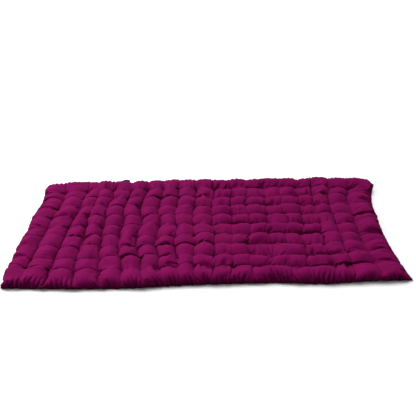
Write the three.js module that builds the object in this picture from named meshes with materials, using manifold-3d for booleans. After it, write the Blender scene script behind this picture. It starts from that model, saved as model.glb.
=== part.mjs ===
// A hand-quilted cotton mattress that lies flat on the floor.
// Millimetres, +Z up. The length runs along X and the width along Y. The underside lies on z = 0,
// and the origin is at the middle of the underside.
//
// Two cloth panels are sewn round their edge into a bag, three sheets of cotton batting fill it, and
// quilting threads go through the whole thickness. Each thread pulls the cloth down into a valley.
// Two threads run as closed rings round the edge, and straight ones fill the field inside them.

import * as THREE from 'three';
import { mergeVertices } from 'three/addons/utils/BufferGeometryUtils.js';
import Module from 'manifold-3d';

const wasm = await Module();
wasm.setup();

// Driving dimensions.
const LENGTH = 2000; // from corner to corner along X
const WIDTH = 900; // from corner to corner along Y
const HEIGHT = 70; // from the underside to the crown of a quilted roll
const CLOTH = 1; // thickness of a cover panel
const CLEARANCE = 0.3; // between any two pieces
const THREAD = 1.2; // width and height of a quilting or seam thread

const BORDER_ROW = 90; // width of each of the border rows that the rings mark off along the sides
const BORDER_COLUMN = 120; // width of each of the border columns at the ends
const RIGHT_END_MARGIN = 30; // more at the right-hand end, whose edge bows in further
const RING_COUNT = 2; // closed quilting rings, one inside the other
const FIELD_LINES = 5; // straight quilting lines inside the inner ring
const FIELD_MARGIN = 95; // from the inner ring to each end of a straight line
const STITCH = 180; // distance along a line between two passes of the thread
const BATTING_SHEETS = 3;

const VALLEY_DEPTH = 14; // on the upper face, under each line
const VALLEY_HALF_WIDTH = 28;
const CHANNEL_DEPTH = 4; // on the underside, so that the thread stays off the floor
const CHANNEL_HALF_WIDTH = 8;
const GROOVE_RUN_ON = 5; // how far a valley or channel runs past the end of its line
const GROOVE_OVERSHOOT = 0.5; // how far its cut goes on above its mouth, as a share of its depth
const CUT_MARGIN = 1; // how far any other cut runs past what it cuts

const SEAM_HEIGHT = 18; // middle of the edge seam above the floor
const SEAM_ALLOWANCE = 9; // turned in along the edge of each panel
const ALLOWANCE_THICKNESS = 3; // of one panel's turned-in edge
const SEAM_THREAD_INSET = 4; // from the edge to the seam thread
const CLOSED_END_MARGIN = 60; // from a corner to the start of the hand-closed stretch

const LEFT_BOW = 25; // how far the middle of each side lies inside the corners
const RIGHT_BOW = 60;
const LONG_SIDE_BOW = 14;
const EAR_SHARPNESS = 4; // a higher power keeps the corner ears shorter
const LONG_SIDE_STEPS = 10;
const SHORT_SIDE_STEPS = 6;

const THREAD_TAIL = 4; // left past the last pass at each end of a field thread
const SHARPEST_SMOOTH_TURN = 0.5; // cosine of the turn beyond which a thread's corner is mitred
const SAME_POINT = 1e-5; // vertices nearer than this are one

const LABEL_CENTRE_X = -510;
const LABEL_WIDTH = 44;
const LABEL_TOP = 66; // above the floor
const LABEL_THICKNESS = 0.8;
const LABEL_TAIL = 2.5; // caught in the seam

// Worked out from the driving dimensions.
const SEAM_GAP = THREAD + 2 * CLEARANCE;
const ALLOWANCE_HALF_BAND = SEAM_GAP / 2 + ALLOWANCE_THICKNESS;
const WELL_BELOW = -HEIGHT; // heights that a cut through the whole mattress starts and ends at
const WELL_ABOVE = 2 * HEIGHT;

// The outer section from the underside to the crown: how far each ring of the outline is moved in,
// and its height as a share of the height above or below the seam.
const LOWER_SECTION = [
  { inset: 34, share: 0 },
  { inset: 12, share: 0.3 },
];
const UPPER_SECTION = [
  { inset: 3, share: 0.45 },
  { inset: 13, share: 0.78 },
  { inset: 40, share: 1 },
];

const CLOTH_COLOUR = 0x7a1450;
const BATTING_COLOUR = 0xe9e2d2;
const THREAD_COLOUR = 0x5c0c3b;
const LABEL_COLOUR = 0x8a93b5;

const clothMaterial = new THREE.MeshStandardMaterial({ color: CLOTH_COLOUR, roughness: 0.9, metalness: 0 });
const battingMaterial = new THREE.MeshStandardMaterial({ color: BATTING_COLOUR, roughness: 1, metalness: 0 });
const threadMaterial = new THREE.MeshStandardMaterial({ color: THREAD_COLOUR, roughness: 0.7, metalness: 0 });
const labelMaterial = new THREE.MeshStandardMaterial({ color: LABEL_COLOUR, roughness: 0.5, metalness: 0 });

function solidFrom(geometry) {
  const bare = geometry.clone();
  bare.deleteAttribute('normal');
  bare.deleteAttribute('uv');
  const merged = mergeVertices(bare, SAME_POINT);
  const vertProperties = new Float32Array(merged.attributes.position.array);
  const triVerts = new Uint32Array(merged.index.array);
  return new wasm.Manifold(new wasm.Mesh({ numProp: 3, vertProperties, triVerts }));
}

function meshOf(name, geometry, material) {
  const mesh = new THREE.Mesh(geometry, material.clone());
  mesh.name = name;
  return mesh;
}

function meshFrom(name, solid, material) {
  const { vertProperties, triVerts } = solid.getMesh();
  const geometry = new THREE.BufferGeometry();
  geometry.setAttribute('position', new THREE.BufferAttribute(vertProperties, 3));
  geometry.setIndex(new THREE.BufferAttribute(triVerts, 1));
  geometry.computeVertexNormals();
  return meshOf(name, geometry, material);
}

// A box between two corners. Its vertices are the corners' own values, so boxes that share a
// face fit exactly.
function block(low, high) {
  const geometry = new THREE.BoxGeometry(1, 1, 1);
  const position = geometry.attributes.position;
  for (let i = 0; i < position.count; i += 1) {
    const x = position.getX(i) < 0 ? low.x : high.x;
    const y = position.getY(i) < 0 ? low.y : high.y;
    const z = position.getZ(i) < 0 ? low.z : high.z;
    position.setXYZ(i, x, y, z);
  }
  return solidFrom(geometry);
}

function slab(lowZ, highZ) {
  const reach = LENGTH + WIDTH;
  return block(new THREE.Vector3(-reach, -reach, lowZ), new THREE.Vector3(reach, reach, highZ));
}

function joined(solids) {
  return solids.reduce((whole, piece) => whole.add(piece));
}

function without(solid, cuts) {
  return cuts.length > 0 ? solid.subtract(joined(cuts)) : solid;
}

// How far inside the corners the edge lies, for a place from 0 to 1 along a side.
function bowAt(share, bow) {
  return bow * (1 - Math.abs(2 * share - 1) ** EAR_SHARPNESS);
}

// The outline seen from above, anticlockwise, with its sides bowed in between the corner ears.
function outline() {
  const halfLength = LENGTH / 2;
  const halfWidth = WIDTH / 2;
  const points = [];
  for (let step = 0; step < LONG_SIDE_STEPS; step += 1) {
    const share = step / LONG_SIDE_STEPS;
    points.push(new THREE.Vector2(-halfLength + LENGTH * share, -halfWidth + bowAt(share, LONG_SIDE_BOW)));
  }
  for (let step = 0; step < SHORT_SIDE_STEPS; step += 1) {
    const share = step / SHORT_SIDE_STEPS;
    points.push(new THREE.Vector2(halfLength - bowAt(share, RIGHT_BOW), -halfWidth + WIDTH * share));
  }
  for (let step = 0; step < LONG_SIDE_STEPS; step += 1) {
    const share = step / LONG_SIDE_STEPS;
    points.push(new THREE.Vector2(halfLength - LENGTH * share, halfWidth - bowAt(share, LONG_SIDE_BOW)));
  }
  for (let step = 0; step < SHORT_SIDE_STEPS; step += 1) {
    const share = step / SHORT_SIDE_STEPS;
    points.push(new THREE.Vector2(-halfLength + bowAt(share, LEFT_BOW), halfWidth - WIDTH * share));
  }
  return points;
}

// The outline moved in by a distance, as a ring of points at one height.
function ringAt(inset, z) {
  const alongX = 1 - inset / (LENGTH / 2);
  const alongY = 1 - inset / (WIDTH / 2);
  return outline().map((point) => new THREE.Vector3(point.x * alongX, point.y * alongY, z));
}

// A closed solid through rings of equal length, from the lowest to the highest.
function loft(rings) {
  const count = rings[0].length;
  const positions = rings.flat().flatMap((point) => [point.x, point.y, point.z]);
  const indices = [];
  for (let level = 0; level + 1 < rings.length; level += 1) {
    for (let i = 0; i < count; i += 1) {
      const here = level * count + i;
      const next = level * count + ((i + 1) % count);
      indices.push(here, next, next + count, here, next + count, here + count);
    }
  }
  const flat = rings[0].map((point) => new THREE.Vector2(point.x, point.y));
  const top = (rings.length - 1) * count;
  for (const [a, b, c] of THREE.ShapeUtils.triangulateShape(flat, [])) {
    indices.push(a, c, b);
    indices.push(top + a, top + b, top + c);
  }
  const geometry = new THREE.BufferGeometry();
  geometry.setAttribute('position', new THREE.Float32BufferAttribute(positions, 3));
  geometry.setIndex(indices);
  return solidFrom(geometry);
}

// The bag without its valleys. skin moves every face in by that much, and turnedIn is how far the
// wall reaches in at the height of the edge seam.
function bagSolid(skin, turnedIn) {
  const band = ALLOWANCE_HALF_BAND + skin;
  const rings = [];
  for (const { inset, share } of LOWER_SECTION) {
    rings.push(ringAt(inset + skin, skin + (SEAM_HEIGHT - band - skin) * share));
  }
  rings.push(ringAt(turnedIn, SEAM_HEIGHT - band));
  rings.push(ringAt(turnedIn, SEAM_HEIGHT + band));
  for (const { inset, share } of UPPER_SECTION) {
    const rise = HEIGHT - skin - SEAM_HEIGHT - band;
    rings.push(ringAt(inset + skin, SEAM_HEIGHT + band + rise * share));
  }
  return loft(rings);
}

// Where the border columns end, counted from the outside, at the two ends.
function columnSpan(number) {
  const half = LENGTH / 2 - number * BORDER_COLUMN;
  return { left: -half, right: half - RIGHT_END_MARGIN };
}

// A quilting line: its corners and ends in order, and whether it closes on itself.
function ringLine(number) {
  const { left, right } = columnSpan(number);
  const y = WIDTH / 2 - number * BORDER_ROW;
  const corners = [[left, -y], [right, -y], [right, y], [left, y]].map(([a, b]) => new THREE.Vector2(a, b));
  return { corners, closed: true };
}

function fieldLine(number) {
  const { left, right } = columnSpan(RING_COUNT);
  const fieldWidth = WIDTH - 2 * RING_COUNT * BORDER_ROW;
  const y = -fieldWidth / 2 + (number * fieldWidth) / (FIELD_LINES + 1);
  const corners = [new THREE.Vector2(left + FIELD_MARGIN, y), new THREE.Vector2(right - FIELD_MARGIN, y)];
  return { corners, closed: false };
}

function quiltingLines() {
  const rings = Array.from({ length: RING_COUNT }, (_, i) => ringLine(i + 1));
  const straight = Array.from({ length: FIELD_LINES }, (_, i) => fieldLine(i + 1));
  return [...rings, ...straight];
}

function sidesOf(line) {
  const { corners, closed } = line;
  const count = closed ? corners.length : corners.length - 1;
  return Array.from({ length: count }, (_, i) => [corners[i], corners[(i + 1) % corners.length]]);
}

// The places on one side of a line where the thread goes through.
function passesAlong([start, end], closed) {
  const steps = Math.max(1, Math.round(start.distanceTo(end) / STITCH));
  const count = closed ? steps : steps + 1;
  return Array.from({ length: count }, (_, i) => {
    const share = closed ? (2 * i + 1) / (2 * steps) : i / steps;
    return start.clone().lerp(end, share);
  });
}

// A triangular groove under a side of a quilting line. Its mouth is at mouthZ and it points to
// tipZ. Past the mouth its walls go on at the same slope, so that it cuts cleanly.
function groove([start, end], halfWidth, mouthZ, tipZ) {
  const overshoot = (mouthZ - tipZ) * GROOVE_OVERSHOOT;
  const cutHalfWidth = halfWidth * (1 + GROOVE_OVERSHOOT);
  const section = new THREE.Shape();
  section.moveTo(0, tipZ);
  section.lineTo(cutHalfWidth, mouthZ + overshoot);
  section.lineTo(-cutHalfWidth, mouthZ + overshoot);
  section.closePath();
  const run = start.distanceTo(end) + 2 * GROOVE_RUN_ON;
  const geometry = new THREE.ExtrudeGeometry(section, { depth: run, bevelEnabled: false, steps: 1 });
  geometry.translate(0, 0, -GROOVE_RUN_ON);
  const along = end.clone().sub(start).normalize();
  const forward = new THREE.Vector3(along.x, along.y, 0);
  const up = new THREE.Vector3(0, 0, 1);
  const sideways = up.clone().cross(forward);
  const place = new THREE.Matrix4().makeBasis(sideways, up, forward).setPosition(start.x, start.y, 0);
  geometry.applyMatrix4(place);
  return solidFrom(geometry);
}

// How much lower a groove's tip lies when its walls are moved out by a distance.
function tipDrop(distance, depth, halfWidth) {
  return (distance * Math.hypot(depth, halfWidth)) / halfWidth;
}

function allSides() {
  return quiltingLines().flatMap((line) => sidesOf(line));
}

// The valleys and channels for a body whose faces are moved in by skin.
function grooves(skin) {
  const valleyTip = HEIGHT - VALLEY_DEPTH - tipDrop(skin, VALLEY_DEPTH, VALLEY_HALF_WIDTH);
  const valleySlope = VALLEY_DEPTH / VALLEY_HALF_WIDTH;
  const channelTip = CHANNEL_DEPTH + tipDrop(skin, CHANNEL_DEPTH, CHANNEL_HALF_WIDTH);
  const channelSlope = CHANNEL_DEPTH / CHANNEL_HALF_WIDTH;
  const valleyReach = (HEIGHT - valleyTip) / valleySlope;
  const channelReach = channelTip / channelSlope;
  const valleys = allSides().map((side) => groove(side, valleyReach, HEIGHT, valleyTip));
  const channels = allSides().map((side) => groove(side, channelReach, 0, channelTip));
  return [...valleys, ...channels];
}

function quiltedSolid(skin, turnedIn) {
  return without(bagSolid(skin, turnedIn), grooves(skin));
}

// A square hole round each place where a thread goes through.
function needleHoles() {
  const half = THREAD / 2 + CLEARANCE;
  const holes = [];
  for (const line of quiltingLines()) {
    for (const side of sidesOf(line)) {
      for (const at of passesAlong(side, line.closed)) {
        const low = new THREE.Vector3(at.x - half, at.y - half, WELL_BELOW);
        const high = new THREE.Vector3(at.x + half, at.y + half, WELL_ABOVE);
        holes.push(block(low, high));
      }
    }
  }
  return holes;
}

// A narrow slot through the batting under each side of a line, from its first pass to its last.
function needleSlots() {
  const half = THREAD / 2 + CLEARANCE;
  return quiltingLines().flatMap((line) => sidesOf(line).map((side) => {
    const passes = passesAlong(side, line.closed);
    const reach = new THREE.Box2().setFromPoints(passes).expandByScalar(half);
    const low = new THREE.Vector3(reach.min.x, reach.min.y, WELL_BELOW);
    const high = new THREE.Vector3(reach.max.x, reach.max.y, WELL_ABOVE);
    return block(low, high);
  }));
}

function coverPanels() {
  const wall = quiltedSolid(0, 0).subtract(quiltedSolid(CLOTH, SEAM_ALLOWANCE));
  const sewn = without(wall, needleHoles());
  const upper = sewn.intersect(slab(SEAM_HEIGHT + SEAM_GAP / 2, WELL_ABOVE));
  const lower = sewn.intersect(slab(WELL_BELOW, SEAM_HEIGHT - SEAM_GAP / 2));
  return [
    meshFrom('top_cover_panel', upper, clothMaterial),
    meshFrom('bottom_cover_panel', lower, clothMaterial),
  ];
}

function battingSheets() {
  const skin = CLOTH + CLEARANCE;
  const filling = without(quiltedSolid(skin, SEAM_ALLOWANCE + CLEARANCE), needleSlots());
  const tallest = HEIGHT - 2 * skin;
  const names = ['lower', 'middle', 'upper'];
  return Array.from({ length: BATTING_SHEETS }, (_, i) => {
    const lowTrim = i > 0 ? CLEARANCE / 2 : -CUT_MARGIN;
    const highTrim = i < BATTING_SHEETS - 1 ? CLEARANCE / 2 : -CUT_MARGIN;
    const low = skin + (tallest * i) / BATTING_SHEETS + lowTrim;
    const high = skin + (tallest * (i + 1)) / BATTING_SHEETS - highTrim;
    const sheet = filling.intersect(slab(low, high));
    return meshFrom(`batting_sheet_${names[i] ?? i + 1}`, sheet, battingMaterial);
  });
}

// The middle heights of the upper and lower floats, each as close to the tip of its groove as it fits.
function floatLevels() {
  const valleyRoom = CLEARANCE + ((THREAD / 2 + CLEARANCE) * VALLEY_DEPTH) / VALLEY_HALF_WIDTH;
  const channelRoom = CLEARANCE + ((THREAD / 2 + CLEARANCE) * CHANNEL_DEPTH) / CHANNEL_HALF_WIDTH;
  const upper = HEIGHT - VALLEY_DEPTH + valleyRoom + THREAD / 2;
  const lower = CHANNEL_DEPTH - channelRoom - THREAD / 2;
  return { upper, lower };
}

// The thread's route: the passes of each side in order, with the corners between them.
function routeOf(line) {
  const route = [];
  for (const side of sidesOf(line)) {
    for (const at of passesAlong(side, line.closed)) {
      route.push({ at, pass: true });
    }
    if (line.closed) {
      route.push({ at: side[1], pass: false });
    }
  }
  return route;
}

// A thread of square section along a path whose bends are all right angles, mitred at each bend.
function squareThread(path, closed) {
  const count = path.length;
  const heading = (i) => path[(i + 1) % count].clone().sub(path[i % count]).normalize();
  const half = THREAD / 2;
  let forward = closed ? heading(count - 1) : heading(0);
  let frame = [new THREE.Vector3(0, 0, 1), new THREE.Vector3(0, 0, 1).cross(forward)];
  const positions = [];
  path.forEach((point, i) => {
    const isEnd = !closed && i === count - 1;
    const onward = isEnd ? forward : heading(i);
    const turn = new THREE.Quaternion().setFromUnitVectors(forward, onward);
    const turned = frame.map((side) => side.clone().applyQuaternion(turn));
    for (const [a, b] of [[-half, -half], [-half, half], [half, half], [half, -half]]) {
      const before = frame[0].clone().multiplyScalar(a).addScaledVector(frame[1], b);
      const after = turned[0].clone().multiplyScalar(a).addScaledVector(turned[1], b);
      const isBend = Math.abs(forward.dot(onward)) < SHARPEST_SMOOTH_TURN;
      const mitre = isBend ? after.dot(forward) : 0;
      positions.push(...point.clone().add(before).addScaledVector(forward, mitre));
    }
    frame = turned;
    forward = onward;
  });
  const indices = [];
  const spans = closed ? count : count - 1;
  for (let i = 0; i < spans; i += 1) {
    for (let k = 0; k < 4; k += 1) {
      const here = 4 * i + k;
      const beside = 4 * i + ((k + 1) % 4);
      const ahead = 4 * ((i + 1) % count);
      indices.push(here, beside, ahead + ((k + 1) % 4), here, ahead + ((k + 1) % 4), ahead + k);
    }
  }
  if (!closed) {
    const last = 4 * (count - 1);
    indices.push(0, 2, 1, 0, 3, 2, last, last + 1, last + 2, last, last + 2, last + 3);
  }
  const geometry = new THREE.BufferGeometry();
  geometry.setAttribute('position', new THREE.Float32BufferAttribute(positions, 3));
  geometry.setIndex(indices);
  geometry.computeVertexNormals();
  return geometry;
}

// A thread that runs above the mattress, dips through it at a pass, runs below it to the next, and so on.
function quiltingThread(name, line) {
  const levels = floatLevels();
  const route = routeOf(line);
  const path = [];
  let height = levels.upper;
  const addPoint = (at, z) => path.push(new THREE.Vector3(at.x, at.y, z));
  if (!line.closed) {
    const [start] = line.corners;
    addPoint(new THREE.Vector2(start.x - THREAD_TAIL, start.y), height);
  }
  for (const { at, pass } of route) {
    addPoint(at, height);
    if (pass) {
      height = height === levels.upper ? levels.lower : levels.upper;
      addPoint(at, height);
    }
  }
  if (!line.closed) {
    const end = line.corners[1];
    addPoint(new THREE.Vector2(end.x + THREAD_TAIL, end.y), height);
  }
  return meshOf(name, squareThread(path, line.closed), threadMaterial);
}

function quiltingThreads() {
  const ringNames = ['outer', 'inner'];
  const rings = Array.from({ length: RING_COUNT }, (_, i) => (
    quiltingThread(`border_quilting_thread_${ringNames[i] ?? i + 1}`, ringLine(i + 1))
  ));
  const straight = Array.from({ length: FIELD_LINES }, (_, i) => (
    quiltingThread(`field_quilting_thread_${i + 1}`, fieldLine(i + 1))
  ));
  return [...rings, ...straight];
}

// The thread in the edge seam, and the one that closes the right-hand end after stuffing.
function seamThreads() {
  const low = SEAM_HEIGHT - THREAD / 2;
  const high = SEAM_HEIGHT + THREAD / 2;
  const outside = loft([ringAt(SEAM_THREAD_INSET, low), ringAt(SEAM_THREAD_INSET, high)]);
  const inset = SEAM_THREAD_INSET + THREAD;
  const inside = loft([ringAt(inset, low - CUT_MARGIN), ringAt(inset, high + CUT_MARGIN)]);
  const ring = outside.subtract(inside);
  const reach = WIDTH / 2 - CLOSED_END_MARGIN;
  const closedEnd = block(
    new THREE.Vector3(0, -reach, WELL_BELOW),
    new THREE.Vector3(LENGTH, reach, WELL_ABOVE),
  );
  const parted = block(
    new THREE.Vector3(0, -reach - CLEARANCE, WELL_BELOW),
    new THREE.Vector3(LENGTH, reach + CLEARANCE, WELL_ABOVE),
  );
  return [
    meshFrom('edge_seam_thread', ring.subtract(parted), threadMaterial),
    meshFrom('closing_seam_thread', ring.intersect(closedEnd), threadMaterial),
  ];
}

// A folded blank tab whose tail is caught in the back seam. It stands just outside the back roll.
function sideLabel() {
  const lowX = LABEL_CENTRE_X - LABEL_WIDTH / 2;
  const highX = LABEL_CENTRE_X + LABEL_WIDTH / 2;
  const share = (LENGTH / 2 - LABEL_CENTRE_X) / LENGTH;
  const edgeY = WIDTH / 2 - bowAt(share, LONG_SIDE_BOW) + 2 * CLEARANCE;
  const half = LABEL_THICKNESS / 2;
  const tail = block(
    new THREE.Vector3(lowX, edgeY - LABEL_TAIL, SEAM_HEIGHT - half),
    new THREE.Vector3(highX, edgeY + LABEL_THICKNESS, SEAM_HEIGHT + half),
  );
  const face = block(
    new THREE.Vector3(lowX, edgeY, SEAM_HEIGHT - half),
    new THREE.Vector3(highX, edgeY + LABEL_THICKNESS, LABEL_TOP),
  );
  return meshFrom('side_label', tail.add(face), labelMaterial);
}

function mattress() {
  const group = new THREE.Group();
  group.add(...coverPanels(), ...battingSheets(), ...seamThreads(), ...quiltingThreads(), sideLabel());
  return group;
}

export default mattress();
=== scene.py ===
"""A hand-quilted cotton floor mattress: its cover, filling, threads, seam and tab, dressed for a studio view.

The cover is two cloth panels. Each is a grid of nodes that is settled as real cloth is: it can't stretch,
the filling pushes it out, the stitches hold it down and the floor stops it. Everything else follows the
settled cloth. All lengths are in metres, with +Z up and the floor at z = 0.
"""

import logging
import math
from dataclasses import dataclass, field
from enum import Enum

import bpy
import numpy as np
from mathutils import Matrix, Vector


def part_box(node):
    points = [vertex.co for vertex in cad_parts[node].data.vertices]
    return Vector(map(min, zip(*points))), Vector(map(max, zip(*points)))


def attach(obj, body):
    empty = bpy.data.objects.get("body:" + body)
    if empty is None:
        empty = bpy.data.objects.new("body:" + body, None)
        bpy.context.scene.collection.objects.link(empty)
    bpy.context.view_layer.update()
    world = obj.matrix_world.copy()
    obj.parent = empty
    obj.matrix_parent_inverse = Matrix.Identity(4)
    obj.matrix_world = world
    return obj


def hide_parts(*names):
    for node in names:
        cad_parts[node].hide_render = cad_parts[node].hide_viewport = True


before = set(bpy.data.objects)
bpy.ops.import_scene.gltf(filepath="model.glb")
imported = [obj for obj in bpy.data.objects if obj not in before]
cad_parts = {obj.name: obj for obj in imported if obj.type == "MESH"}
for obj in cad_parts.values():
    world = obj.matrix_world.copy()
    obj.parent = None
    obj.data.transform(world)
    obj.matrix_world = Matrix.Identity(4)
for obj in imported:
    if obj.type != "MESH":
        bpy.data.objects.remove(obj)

LOG = logging.getLogger("mattress")
MM = 0.001
BODY = "root"


class Side(Enum):
    """Which panel of the cover a sheet of cloth is, by the way its filling pushes it."""

    UPPER = 1.0
    LOWER = -1.0


class Slot(Enum):
    """The record's material slots."""

    COVER = "cover_cloth"
    BATTING = "cotton_batting"
    THREAD = "quilting_thread"
    LABEL = "label_cloth"


# ---------------------------------------------------------------- small tools


def linear_rgba(hex_colour: str) -> tuple[float, float, float, float]:
    """Turns an sRGB hex colour into linear red, green, blue and alpha.

    Args:
        hex_colour: Six hex digits, such as "7a1450".

    Returns:
        The linear colour with an alpha of 1.
    """
    shares = [int(hex_colour[i:i + 2], 16) / 255 for i in (0, 2, 4)]
    linear = [s / 12.92 if s <= 0.04045 else ((s + 0.055) / 1.055) ** 2.4 for s in shares]
    return (*linear, 1.0)


def smooth_noise(shape: tuple[int, int], knots: tuple[int, int], rng: np.random.Generator) -> np.ndarray:
    """Makes a smooth random field.

    Args:
        shape: How many nodes it has each way.
        knots: How many random values it runs through each way.
        rng: The seeded source of the random values.

    Returns:
        Values of about -1 to 1, one for each node.
    """
    coarse = rng.uniform(-1, 1, knots)
    for axis, count in enumerate(shape):
        places = np.linspace(0, knots[axis] - 1, count)
        low = np.minimum(places.astype(int), knots[axis] - 2)
        ease = places - low
        ease = ease * ease * (3 - 2 * ease)
        ease = ease.reshape((-1, 1) if axis == 0 else (1, -1))
        coarse = np.take(coarse, low, axis) * (1 - ease) + np.take(coarse, low + 1, axis) * ease
    return coarse.astype(np.float32)


def mesh_object(name: str, points: np.ndarray, faces: np.ndarray, smooth: bool = True) -> bpy.types.Object:
    """Makes a mesh object of quads.

    Args:
        name: The object's name.
        points: Its vertices, one row of three numbers each.
        faces: Its quads, one row of four vertex numbers each.
        smooth: Whether it is shaded smooth.

    Returns:
        The new object, linked to the scene.
    """
    mesh = bpy.data.meshes.new(name)
    mesh.vertices.add(len(points))
    mesh.vertices.foreach_set("co", np.asarray(points, np.float32).ravel())
    mesh.loops.add(faces.size)
    mesh.loops.foreach_set("vertex_index", faces.astype(np.int32).ravel())
    mesh.polygons.add(len(faces))
    mesh.polygons.foreach_set("loop_start", np.arange(0, faces.size, 4, dtype=np.int32))
    mesh.polygons.foreach_set("use_smooth", np.full(len(faces), smooth))
    mesh.update(calc_edges=True)
    mesh.validate()
    made = bpy.data.objects.new(name, mesh)
    bpy.context.scene.collection.objects.link(made)
    return made


def grid_faces(rows: int, columns: int, flip: bool = False, wrap_rows: bool = False) -> np.ndarray:
    """Numbers the quads of a grid of vertices.

    Args:
        rows: How many vertices it has along its first direction.
        columns: How many along its second.
        flip: Whether the quads face the other way.
        wrap_rows: Whether the last row joins the first.

    Returns:
        One row of four vertex numbers for each quad.
    """
    spans = rows if wrap_rows else rows - 1
    first = np.arange(spans)[:, None] * columns + np.arange(columns - 1)[None, :]
    ahead = ((np.arange(spans)[:, None] + 1) % rows) * columns + np.arange(columns - 1)[None, :]
    quads = np.stack([first, ahead, ahead + 1, first + 1], axis=-1).reshape(-1, 4)
    return quads[:, ::-1] if flip else quads


def add_uv(piece: bpy.types.Object, name: str, per_vertex: np.ndarray) -> None:
    """Gives a mesh a UV map from one pair of numbers for each vertex.

    Args:
        piece: The object.
        name: The map's name.
        per_vertex: One row of two numbers for each vertex.
    """
    mesh = piece.data
    corners = np.empty(len(mesh.loops), np.int32)
    mesh.loops.foreach_get("vertex_index", corners)
    layer = mesh.uv_layers.new(name=name)
    layer.data.foreach_set("uv", per_vertex.astype(np.float32)[corners].ravel())


def swept_tube(path: np.ndarray, section: np.ndarray, closed: bool,
               level: bool = False) -> tuple[np.ndarray, np.ndarray]:
    """Sweeps a closed section along a path.

    Args:
        path: Its points, one row of three numbers each.
        section: The section's points, as sideways and upward distances.
        closed: Whether the path joins its own start.
        level: Whether sideways stays level, as on a seam, or turns with the path.

    Returns:
        The vertices and the quads. An open tube is closed at its ends by shrinking to a point.
    """
    ahead = np.roll(path, -1, 0) - np.roll(path, 1, 0)
    if not closed:
        ahead[0], ahead[-1] = path[1] - path[0], path[-1] - path[-2]
    ahead /= np.maximum(np.linalg.norm(ahead, axis=1, keepdims=True), 1e-9)
    if level:
        sideways = np.stack([ahead[:, 1], -ahead[:, 0], np.zeros(len(path))], axis=1)
        sideways /= np.maximum(np.linalg.norm(sideways, axis=1, keepdims=True), 1e-9)
    else:
        sideways = np.empty_like(path)
        side = np.cross(ahead[0], (0.0, 0.0, 1.0) if abs(ahead[0, 2]) < 0.9 else (1.0, 0.0, 0.0))
        for i, direction in enumerate(ahead):
            side = side - direction * side.dot(direction)
            side /= max(np.linalg.norm(side), 1e-9)
            sideways[i] = side
    upward = np.cross(sideways, ahead)
    scale, end_scale = np.ones((len(path), 1, 1)), 0.05
    if not closed:
        path = np.concatenate([path[:1], path, path[-1:]])
        sideways = np.concatenate([sideways[:1], sideways, sideways[-1:]])
        upward = np.concatenate([upward[:1], upward, upward[-1:]])
        scale = np.ones((len(path), 1, 1))
        scale[0] = scale[-1] = end_scale
    offsets = sideways[:, None] * section[None, :, :1] + upward[:, None] * section[None, :, 1:]
    points = path[:, None] + offsets * scale
    count = len(section)
    faces = grid_faces(len(path), count + 1, wrap_rows=closed)
    faces = faces // (count + 1) * count + faces % (count + 1) % count
    return points.reshape(-1, 3), faces


def round_section(radius_across: float, radius_up: float, sides: int) -> np.ndarray:
    """Gives the points of an oval section."""
    turn = np.arange(sides) * (2 * math.pi / sides)
    return np.stack([radius_across * np.cos(turn), radius_up * np.sin(turn)], axis=1)


def merged(parts: list[tuple[np.ndarray, np.ndarray]]) -> tuple[np.ndarray, np.ndarray]:
    """Joins several meshes, given as vertices and quads, into one."""
    starts = np.cumsum([0] + [len(points) for points, _ in parts[:-1]])
    points = np.concatenate([points for points, _ in parts])
    faces = np.concatenate([faces + start for (_, faces), start in zip(parts, starts)])
    return points, faces


def closed_slab(low: np.ndarray, high: np.ndarray) -> tuple[np.ndarray, np.ndarray]:
    """Closes two faces of one grid round their edge.

    Args:
        low: The lower face's nodes.
        high: The upper face's nodes.

    Returns:
        The vertices and the quads.
    """
    _, rows, columns = low.shape
    points = np.concatenate([low.reshape(3, -1).T, high.reshape(3, -1).T])
    count = rows * columns
    numbers = np.arange(count).reshape(rows, columns)
    rim = np.concatenate([numbers[:-1, 0], numbers[-1, :-1], numbers[:0:-1, -1], numbers[0, :0:-1]])
    ahead = np.roll(rim, -1)
    sides = np.stack([rim, ahead, ahead + count, rim + count], axis=1)
    faces = np.concatenate([grid_faces(rows, columns, flip=True), grid_faces(rows, columns) + count, sides])
    return points, faces


def even_steps(path: np.ndarray, step: float, closed: bool) -> np.ndarray:
    """Resamples a path at even steps.

    Args:
        path: Its points.
        step: About how far apart the new points lie.
        closed: Whether the path joins its own start.

    Returns:
        The new points.
    """
    whole = np.concatenate([path, path[:1]]) if closed else path
    length = np.concatenate([[0], np.cumsum(np.linalg.norm(np.diff(whole, axis=0), axis=1))])
    count = max(4, round(length[-1] / step))
    at = np.linspace(0, length[-1], count, endpoint=not closed)
    return np.stack([np.interp(at, length, column) for column in whole.T], axis=1)


def rises(values: np.ndarray, start: float, length: float) -> np.ndarray:
    """Gives 0 up to the start, 1 from a length past it, and a straight slope between."""
    return np.clip((values - start) / length, 0, 1)


def falls(values: np.ndarray, end: float, length: float) -> np.ndarray:
    """Gives 1 up to a length before the end, 0 past it, and a straight slope between."""
    return np.clip((end - values) / length, 0, 1)


# ---------------------------------------------------------------- the layout of the quilting


@dataclass(frozen=True)
class Bulge:
    """A place where the front edge was laid further out: its middle, its spread and how far out."""

    middle: float
    spread: float
    depth: float


@dataclass(frozen=True)
class Pinch:
    """A place where the stitches dragged the cloth aside: its middle, its spread and how far."""

    middle: tuple[float, float]
    spread: float
    drag: tuple[float, float]


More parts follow.
